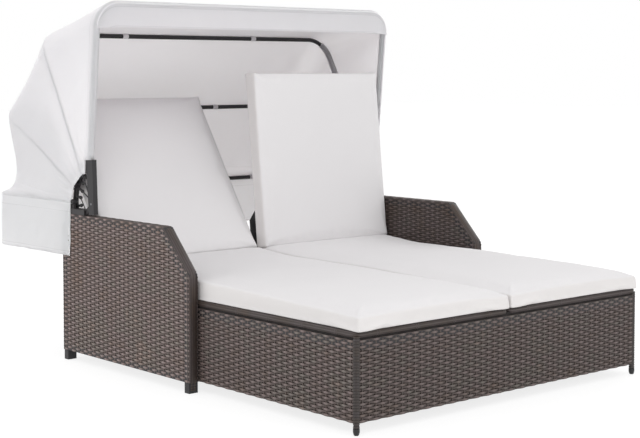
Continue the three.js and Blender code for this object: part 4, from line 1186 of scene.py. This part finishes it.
# What each span does between its two bows, in millimetres
spans = {
    "canopy_rear_span": {"bows": ("rear", "second"), "sag": 16.0, "cornerSag": 52.0, "sagSkew": 0.49,
                         "sideSag": 15.0, "lift": (13.0, 14.0), "seams": [0.16], "seed": 3},
    "canopy_middle_span": {"bows": ("second", "first"), "sag": 6.0, "cornerSag": 5.0, "sagSkew": 1.0,
                           "sideSag": 17.0, "lift": (14.0, 6.0), "seams": [], "seed": 5},
    "canopy_front_span": {"bows": ("first", "front"), "sag": 5.0, "cornerSag": -2.0, "sagSkew": 1.0,
                          "sideSag": 12.0, "lift": (6.0, 0.0), "seams": [0.9], "seed": 7},
}


def aroundPivot(spot):  # (y, z) in millimetres from the pivot
    return spot.y * 1000 + bed["middleY"] - bed["pivot"][0], spot.z * 1000 - bed["pivot"][1]


def clothSpan(name):
    form = spans[name]
    fromName, toName = form["bows"]
    start, end = bowOf(fromName), bowOf(toName)
    startLine, endLine = bowLine(start), bowLine(end)
    count = len(startLine)
    leastLean, mostLean = hood["lean"]
    py, pz = bed["pivot"]

    def clearOf(c, which):
        extra = hood["frontClear"] if form["bows"][which] == "front" else 0.0
        return hood["tube"] + hood["clear"] + extra + form["lift"][which] * bendShare(c, count, hood["bendSpread"])

    onStart, onEnd = [], []
    for c in range(count):
        lean = min(max(leaving(start, end, startLine, endLine, c), leastLean), mostLean)
        onStart.append(tubeSpot(start, startLine[c], lean, clearOf(c, 0)))
        lean = min(max(-leaving(end, start, endLine, startLine, c), leastLean), mostLean)
        onEnd.append(tubeSpot(end, endLine[c], -lean, clearOf(c, 1)))
    startAngle = math.degrees(math.atan2(*aroundPivot(onStart[0])[::-1]))
    rows = [[tubeSpot(start, startLine[c], 0.0, clearOf(c, 0)) for c in range(count)]]
    for share in spanShares(form["seams"]):
        skewed = share ** form["sagSkew"]
        slack = max(0.0, math.sin(math.pi * skewed)) ** 1.2
        taut = max(0.0, math.sin(math.pi * share)) ** 1.3               # leaves a soft crease over each leg
        stitched = hood["stitch"] if any(abs(share - seam) < 0.006 for seam in form["seams"]) else 0.0
        row = []
        foot = onStart[0].lerp(onEnd[0], share)
        for c in range(count):
            spot = onStart[c].lerp(onEnd[c], share)
            along = min(c, count - 1 - c)
            sides, bends = hood["sideSteps"], hood["bendSteps"]
            reachShare = min(along / (sides + bends), 1.0)
            sideShare = max(0.0, min(1.0, (sides + 3 - along) / 6))      # 1 on the side panels, 0 on the roof
            out = min(along / sides, 1.0)
            fallen = slack * form["cornerSag"] * 0.7 * bendShare(c, count, sides * 0.9)
            inward = taut * form["sag"] * reachShare ** 2 + fallen
            wrinkle = ripple(spot.x * 1.1, (spot.y + spot.z) * 1.1, form["seed"]) * taut
            inward -= wrinkle * hood["wrinkle"]["roof"] * (1 - sideShare) - stitched * (1 - sideShare)
            armY, armZ = aroundPivot(spot)
            pull = 1 - inward / math.hypot(armY, armZ)
            if toName == "front":
                armY, armZ = aroundPost(armY, armZ, aroundPivot(foot), startAngle, share, out)
            sign = math.copysign(1.0, spot.x) if abs(spot.x) > 0.3 else 0.0
            rays = math.sin(2 * math.pi * (share * 3 + 0.15 * ripple(out, share, form["seed"]))) * taut
            rays *= hood["ray"] * math.exp(-((out - 0.12) / 0.22) ** 2)
            drawn = form["sideSag"] * taut * out ** 0.7 * (1.0 - 0.35 * out)
            side = sideShare * (rays - drawn + hood["wrinkle"]["side"] * wrinkle - stitched) - fallen
            row.append(rowPoint(spot.x * 1000 + sign * side, py + armY * pull, pz + armZ * pull))
        rows.append(row)
    rows.append([tubeSpot(end, endLine[c], 0.0, clearOf(c, 1)) for c in range(count)])
    if toName == "front":  # the cloth runs on round the front of the front bow
        for turn in hood["frontTurns"]:
            lean = math.sin(math.radians(turn))
            rows.append([tubeSpot(end, endLine[c], lean, clearOf(c, 1)) for c in range(count)])
    rows.reverse()
    piece, flat, area = clothObject(name, rows, finish=frontFinish if toName == "front" else hoodFinish)
    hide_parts(name.replace("span", "cloth"))
    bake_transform(piece, bodyOf[fromName], bodyOf[toName], start=onStart[count // 2], end=onEnd[count // 2])
    fanBlend(piece, start, end, toName == "front")


# The angle of a post's rear face about the pivot, at a distance from it
def postRearAngle(reach):
    grown = (hood["postHead"] - reach) / (hood["postHead"] - hood["postFoot"])
    half = (hood["postHeadWidth"] + (hood["postFootWidth"] - hood["postHeadWidth"]) * grown) / 2 + hood["postClear"]
    return hood["postAngle"] - math.degrees(math.asin(half / reach))


# Behind the posts the cloth's lower edge runs down round the quadrants, and above them it clears their tops
def aroundPost(y, z, foot, startAngle, share, out):
    reach, angle = math.hypot(y, z), math.degrees(math.atan2(z, y))
    footReach, footAngle = math.hypot(*foot), math.degrees(math.atan2(foot[1], foot[0]))
    limit = postRearAngle(hood["postHead"])
    behind = footAngle <= limit
    low = hood["edges"]["first"] - hood["edgeDip"] * eased(share / 0.4)
    if not behind:
        low = hood["postHead"] + hood["postClear"]
    reach -= (footReach - low) * max(0.0, 1 - out / 0.35) ** 1.5
    if behind and reach < hood["postHead"]:
        along = min(angle, limit) - startAngle
        angle = startAngle + along * (postRearAngle(reach) - startAngle) / (limit - startAngle)
    return reach * math.cos(math.radians(angle)), reach * math.sin(math.radians(angle))


# The cloth turns about the pivot by its share of the angle between its two bows
def fanBlend(piece, start, end, toFront):
    py, pz = bed["pivot"]
    weights = piece.data.attributes["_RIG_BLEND"]
    for v in piece.data.vertices:
        y, z = v.co.y * 1000 + bed["middleY"] - py, v.co.z * 1000 - pz
        high = frontAngleAt(math.hypot(y, z)) if toFront else end["angle"]
        share = (math.degrees(math.atan2(z, y)) - start["angle"]) / (high - start["angle"])
        weights.data[v.index].value = min(1.0, max(0.0, share))


# The front bow stands on its posts, so its angle about the pivot depends on how far out it is
def frontAngleAt(reach):
    py, pz = bed["pivot"]
    bow = bowOf("front")
    turn = math.radians(bow["angle"])
    y, z = bow["y"] - py, bow["z"] - pz
    along = y * math.cos(turn) + z * math.sin(turn)
    far = -along + math.sqrt(max(0.0, along ** 2 - (y * y + z * z) + max(reach, hood["postHead"]) ** 2))
    angle = math.degrees(math.atan2(z + far * math.sin(turn), y + far * math.cos(turn)))
    behind = postRearAngle(min(reach, hood["postHead"]))
    return behind + (angle - behind) * eased((reach - hood["postHead"]) / 30)


def bowTubePoints(bow, startReach, steps=12):
    side, bend, top = bed["bowPlane"], hood["corner"], bow["reach"]
    half = [(side, startReach)]
    for k in range(steps + 1):
        turn = math.pi / 2 * k / steps
        half.append((side - bend + bend * math.cos(turn), top - bend + bend * math.sin(turn)))
    line = half + [(-x, r) for x, r in reversed(half)]
    return [bowPoint(bow, x, r) for x, r in line]


def makeBows():
    for name, body in bodyOf.items():
        bow = bowOf(name)
        radius = hood["tube"] - (0.0 if name == "front" else hood["bare"])
        meshes = [roundBar("tube", bowTubePoints(bow, hood["tubeStart"][name]), radius, steelFinish)]
        if name in blade["offset"]:
            meshes += bladeMeshes(bow, blade["offset"][name])
        colored(f"{name}_bow_tube", meshes, steelFinish, body=body, replaces=[f"{name}_bow"])


# Flat strips that join a bow's lower ends to the pivot bolts, beside each other on the two bows that have them
blade = {"offset": {"second": -5.5, "first": 5.5}, "halfWidth": 1.5, "foot": -7.0, "head": 138.0, "halfDepth": 2.4}


def bladeMeshes(bow, offset):
    meshes = []
    turn = Matrix.Rotation(math.radians(bow["angle"]), 4, "X")
    place = Matrix.Translation(rowPoint(0, *bed["pivot"])) @ turn
    for sign in (-1, 1):
        x = sign * (bed["bowPlane"] + offset)
        low = Vector((x - blade["halfWidth"], blade["foot"], -blade["halfDepth"])) * mm
        high = Vector((x + blade["halfWidth"], blade["head"], blade["halfDepth"])) * mm
        strip = boxMesh("strip", low, high, 0.4 * mm, 1)
        strip.transform(place)
        meshes.append(strip)
    return meshes


# The moulded quadrant on each arm: a ribbed rim with short fingers, and a thin stay to the pivot bracket
quadrant = {
    "outer": 152.0,
    "inner": 128.0,
    "from": 661.0,
    "to": 669.0,
    "foot": -36.0,
    "top": 80.0,
    "rib": 2.2,                 # how far the two ribs stand out from the rim
    "ribWidth": 8.0,
    "fingers": ((52.0, 112.0), (37.0, 112.0), (22.0, 103.0), (8.0, 108.0), (-7.0, 104.0)),  # angle and reach
    "fingerRadius": 4.6,
    "knobRadius": 6.6,
    "stayTop": (106.0, 6.0),
    "stayFoot": (78.0, -24.0),
    "stay": 1.8,
}


def makeQuadrants():
    py, pz = bed["pivot"]
    size = quadrant

    def spot(r, angle):
        return py + r * math.cos(math.radians(angle)), pz + r * math.sin(math.radians(angle))

    def rim(outer, inner, steps=24):
        low = [math.degrees(math.asin(size["foot"] / r)) for r in (outer, inner)]
        high = size["top"]
        return ([spot(outer, low[0] + (high - low[0]) * k / steps) for k in range(steps + 1)]
                + [spot(inner, high + (low[1] - high) * k / steps) for k in range(steps + 1)])

    for side, sign in (("left", -1), ("right", 1)):
        near, far = sign * size["from"], sign * size["to"]
        rib, wide = sign * size["rib"], size["ribWidth"]
        meshes = [prismMesh("rim", rim(size["outer"] - 2, size["inner"] + 2), near + rib, far - rib)]
        for outer, inner in ((size["outer"], size["outer"] - wide), (size["inner"] + wide, size["inner"])):
            meshes.append(prismMesh("rib", rim(outer, inner), near, far))
        middle = (near + far) / 2
        for angle, reach in size["fingers"]:
            ends = [rowPoint(middle, *spot(r, angle)) for r in (size["inner"] + 4, reach)]
            meshes.append(roundBar("finger", ends, size["fingerRadius"], plasticFinish, sides=12))
            knob = bpy.data.meshes.new("knob")
            work = bmesh.new()
            bmesh.ops.create_uvsphere(work, u_segments=14, v_segments=8, radius=size["knobRadius"] * mm,
                                      matrix=Matrix.Translation(ends[1]))
            work.to_mesh(knob)
            work.free()
            meshes.append(knob)
        stay = [rowPoint(middle, *spot(*size[key])) for key in ("stayTop", "stayFoot")]
        meshes.append(roundBar("stay", stay, size["stay"], plasticFinish, sides=10))
        colored(f"{side}_quadrant_moulding", meshes, plasticFinish, body="bed",
                replaces=[f"{side}_quadrant"], smooth=False)


def makeHood():
    makeBows()
    makeQuadrants()
    for name in spans:
        clothSpan(name)
    makeRearFlap()
    makeFrontValance()
    makeSleeves()
    makeTabs()


flap = {
    "front": 135.0,
    "drop": 195.0,
    "flare": 5.0,
    "rows": 22,
    "seam": 38.0,
    "seamDepth": 0.8,
    "hem": (14, 12),            # close rows this far above the lower edge
    "lift": 13.0,               # how far it stands off the tube at the bends
    "wave": 3.5,
    "fold": 1.6,
    "lean": 7.0,                # how far the front end leans back as it hangs
}


def makeRearFlap():
    bow = bowOf("rear")
    bow["start"] = flap["front"]
    line = bowLine(bow)
    count = len(line)
    py, pz = bed["pivot"]
    drops = sorted([flap["drop"] * r / flap["rows"] for r in range(flap["rows"] + 1)]
                   + [flap["seam"] - 1.2, flap["seam"] + 1.2] + [flap["drop"] - up for up in flap["hem"]])
    rows = []
    for drop in drops:
        share = drop / flap["drop"]
        sewn = flap["seamDepth"] if abs(drop - flap["seam"]) < 0.7 else 0.0
        row = []
        for c, (x, reach, nx, nr) in enumerate(line):
            clear = hood["tube"] + hood["clear"] + flap["lift"] * bendShare(c, count, hood["bendSpread"])
            rearShare = min(1.0, max(0.0, (reach - flap["front"]) / (bow["reach"] - flap["front"])))
            wave = ripple(x * 0.003 + reach * 0.003, share * 0.3, 11) * flap["wave"] * share
            wave += flap["fold"] * math.sin(reach * 0.04 + x * 0.021) * share
            out = clear + share * flap["flare"] * rearShare + wave - sewn
            back = flap["lean"] * share * (1 - rearShare)
            row.append(rowPoint(x + nx * out, py + reach + nr * out + back, pz - drop))
        rows.append(row)
    piece, flat, area = clothObject("rear_hanging_flap", rows, finish=flapFinish)
    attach(piece, "bed")
    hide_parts("rear_flap")


valance = {"drop": 83.0, "arch": 5.0, "over": 9.0, "clear": 0.4, "wave": 2.5, "lean": 2.0, "columns": 90, "rows": 12}


def makeFrontValance():
    bow = bowOf("front")
    side, bend, top = bed["bowPlane"], hood["corner"], bow["reach"]
    out = hood["tube"] + hood["clear"] + hood["frontClear"] + valance["clear"]
    rows = []
    for r in range(valance["rows"] + 1):
        share = r / valance["rows"]
        row = []
        for c in range(valance["columns"] + 1):
            turn = math.pi * c / valance["columns"]
            x = (side + valance["over"]) * math.cos(turn)
            past = max(0.0, abs(x) - (side - bend))
            upper = top - bend + math.sqrt(max(0.0, (bend + valance["over"]) ** 2 - past * past))
            low = top - valance["drop"] + valance["arch"] * math.sin(turn)
            wave = ripple(x * 0.003, share * 0.2, 17) * valance["wave"] * share
            row.append(bowPoint(bow, x, upper + (low - upper) * share, out + wave + valance["lean"] * share))
        rows.append(row)
    piece, flat, area = clothObject("front_hanging_valance", rows, finish=valanceFinish)
    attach(piece, "front_canopy_bow")
    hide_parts("front_valance")


# Pockets of cloth round the tubes: all along the front bow, and on the legs of the first and second bows. The three
# rear bows have a thin facing on their outer side, where the cloth is sewn on. Turns round a tube are in degrees.
sleeve = {
    "around": 14,
    "pocket": {"gap": 1.9, "uneven": 0.8, "thickness": 0.9},
    "facing": {"gap": -0.1, "uneven": 0.0, "thickness": 0.5},
    "frontTurn": (70.0, 340.0),
    "legTurn": (48.0, 312.0),
    "legStart": 176.0,
    "bend": 0.62,               # the share of a bend that a leg's pocket covers
    "facingTurn": {"rear": (-60.0, 82.0), "second": (-75.0, 45.0), "first": (-75.0, 20.0)},
}


def makeSleeves():
    sewSleeve("front_sleeve", "front", bowLine(bowOf("front")), sleeve["frontTurn"], sleeve["pocket"])
    for name, turns in sleeve["facingTurn"].items():
        sewSleeve(f"{name}_facing", name, bowLine(bowOf(name)), turns, sleeve["facing"])
    for name in ("first", "second"):
        line = [entry for entry in bowLine(bowOf(name)) if entry[1] > sleeve["legStart"]]
        keep = round(hood["bendSteps"] * sleeve["bend"])
        legs = sum(1 for entry in line if entry[2] == 1.0) - 1 + keep
        for side, part in (("right", line[:legs]), ("left", line[-legs:])):
            sewSleeve(f"{side}_{name}_sleeve", name, part, sleeve["legTurn"], sleeve["pocket"])


def sewSleeve(label, name, line, turns, kind):
    bow = bowOf(name)
    fromTurn, toTurn = turns
    rows = []
    for k, (x, reach, nx, nr) in enumerate(line):
        row = []
        for a in range(sleeve["around"] + 1):
            turn = math.radians(fromTurn + (toTurn - fromTurn) * a / sleeve["around"])
            r = hood["tube"] + kind["gap"] + kind["uneven"] * noise.noise(Vector((k * 0.35, a * 0.8, x * 0.01)))
            level = math.cos(turn) * r
            row.append(bowPoint(bow, x + nx * level, reach + nr * level, math.sin(turn) * r))
        rows.append(row)
    piece, flat, area = clothObject(label, rows, kind["thickness"])
    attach(piece, bodyOf[name])


# White tapes that hold the cloth to the bows' bars
tabs = {"first": (-322.0, 298.0), "second": (-300.0, 300.0), "rear": (-548.0, 548.0), "width": 24.0,
        "shift": 1.0, "proud": 1.1}


def makeTabs():
    half = tabs["width"] / 2
    for name in ("first", "second", "rear"):
        bow = bowOf(name)
        meshes = []
        for x in tabs[name]:
            points = [bowPoint(bow, x + s * half, bow["reach"] + tabs["shift"]) for s in (-1.0, -0.92, 0.92, 1.0)]
            meshes.append(roundBar("tape", points, hood["tube"] + tabs["proud"], tabFinish))
        colored(f"{name}_bow_tapes", meshes, tabFinish, body=bodyOf[name])


makeHood()
print("hood made")


# ---- plain CAD pieces ----

def dressCad():
    finishes = {"wicker": wrapFinish, "painted_steel": steelFinish, "grey_steel": greyFinish,
                "black_plastic": plasticFinish, "canopy_cloth": hoodFinish, "cushion_cloth": cushionFinish}
    slots = {entry["node"]: entry["material_slot"] for entry in frame["record"]["subparts"]}
    for node, piece in frame["nodes"].items():
        finish = finishes[slots.get(node, "painted_steel")]
        if node.endswith("hinge_rod") or node.endswith("pivot_bolt"):
            finish = rodFinish
        piece.data.materials.clear()
        piece.data.materials.append(finish)


dressCad()
print("frame dressed")


# ---- floor, light and camera ----

light = {
    "sky": 0.67,
    "lamps": {                  # place, target, power and size
        "keyLamp": ((-3.4, -2.6, 4.0), (0, 0, 0.4), 68, 3.0),
        "frontLamp": ((0.4, -4.6, 2.0), (0, 0.3, 0.9), 54, 3.0),
        "sideLamp": ((-2.9, 0.7, 0.9), (-0.69, 0.3, 0.3), 13, 1.6),
        "backLamp": ((0.5, 3.8, 3.4), (0, 0, 0.8), 50, 3.0),
        "rightLamp": ((3.4, 0.6, 2.0), (0.69, 0.7, 0.9), 24, 2.0),
    },
}


def seenShare(tree):  # 1 for what the camera sees directly, in gloss or through glass
    path = tree.tree.nodes.new("ShaderNodeLightPath")
    rays = [Val(tree.tree, path.outputs[key]) for key in ("Is Camera Ray", "Is Glossy Ray", "Is Transmission Ray")]
    return (rays[0] + rays[1] + rays[2]).math("MINIMUM", 1.0)


def makeStage():
    material, tree, shader = newMaterial("paleFloor")
    seen = seenShare(tree)
    connect(tree, shader, "Base Color", mixColor(tree, seen, (0.8, 0.8, 0.8), (0.24, 0.24, 0.24)))
    setShader(shader, **{"Roughness": 0.95, "Emission Color": (1, 1, 1, 1)})
    connect(tree, shader, "Emission Strength", seen * 0.8)
    bpy.ops.mesh.primitive_plane_add(size=60, location=(0, 0, -0.0005))
    floor = bpy.context.active_object
    floor.name = "floor"
    floor.data.materials.append(material)
    world = bpy.data.worlds.new("studio")
    world.use_nodes = True
    scene.world = world
    sky = Tree(world.node_tree)
    background = world.node_tree.nodes["Background"]
    wire(world.node_tree, background.inputs["Strength"], seenShare(sky) * (1 - light["sky"]) + light["sky"])
    background.inputs["Color"].default_value = (1, 1, 1, 1)


def addLamp(name, place, target, power, size):
    data = bpy.data.lights.new(name, "AREA")
    data.energy, data.size = power, size
    lamp = bpy.data.objects.new(name, data)
    lamp.location = place
    lamp.rotation_euler = (Vector(target) - Vector(place)).to_track_quat("-Z", "Y").to_euler()
    scene.collection.objects.link(lamp)


camera = {
    "place": (-3.3833, -4.0161, 1.0395),
    "yaw": 0.7208,
    "pitch": 0.0535,
    "lens": 81.18,
    "shift": (-0.01875, -0.1095),
}


def makeCamera():
    data = bpy.data.cameras.new("camera")
    data.sensor_width, data.lens = 36.0, camera["lens"]
    data.shift_x, data.shift_y = camera["shift"]
    data.clip_end = 100
    eye = bpy.data.objects.new("camera", data)
    eye.location = camera["place"]
    eye.rotation_euler = (math.pi / 2 - camera["pitch"], 0, -camera["yaw"])
    scene.collection.objects.link(eye)
    scene.camera = eye


makeStage()
for lampName, values in light["lamps"].items():
    addLamp(lampName, *values)
makeCamera()
scene.view_settings.view_transform = "Standard"
print("stage set")
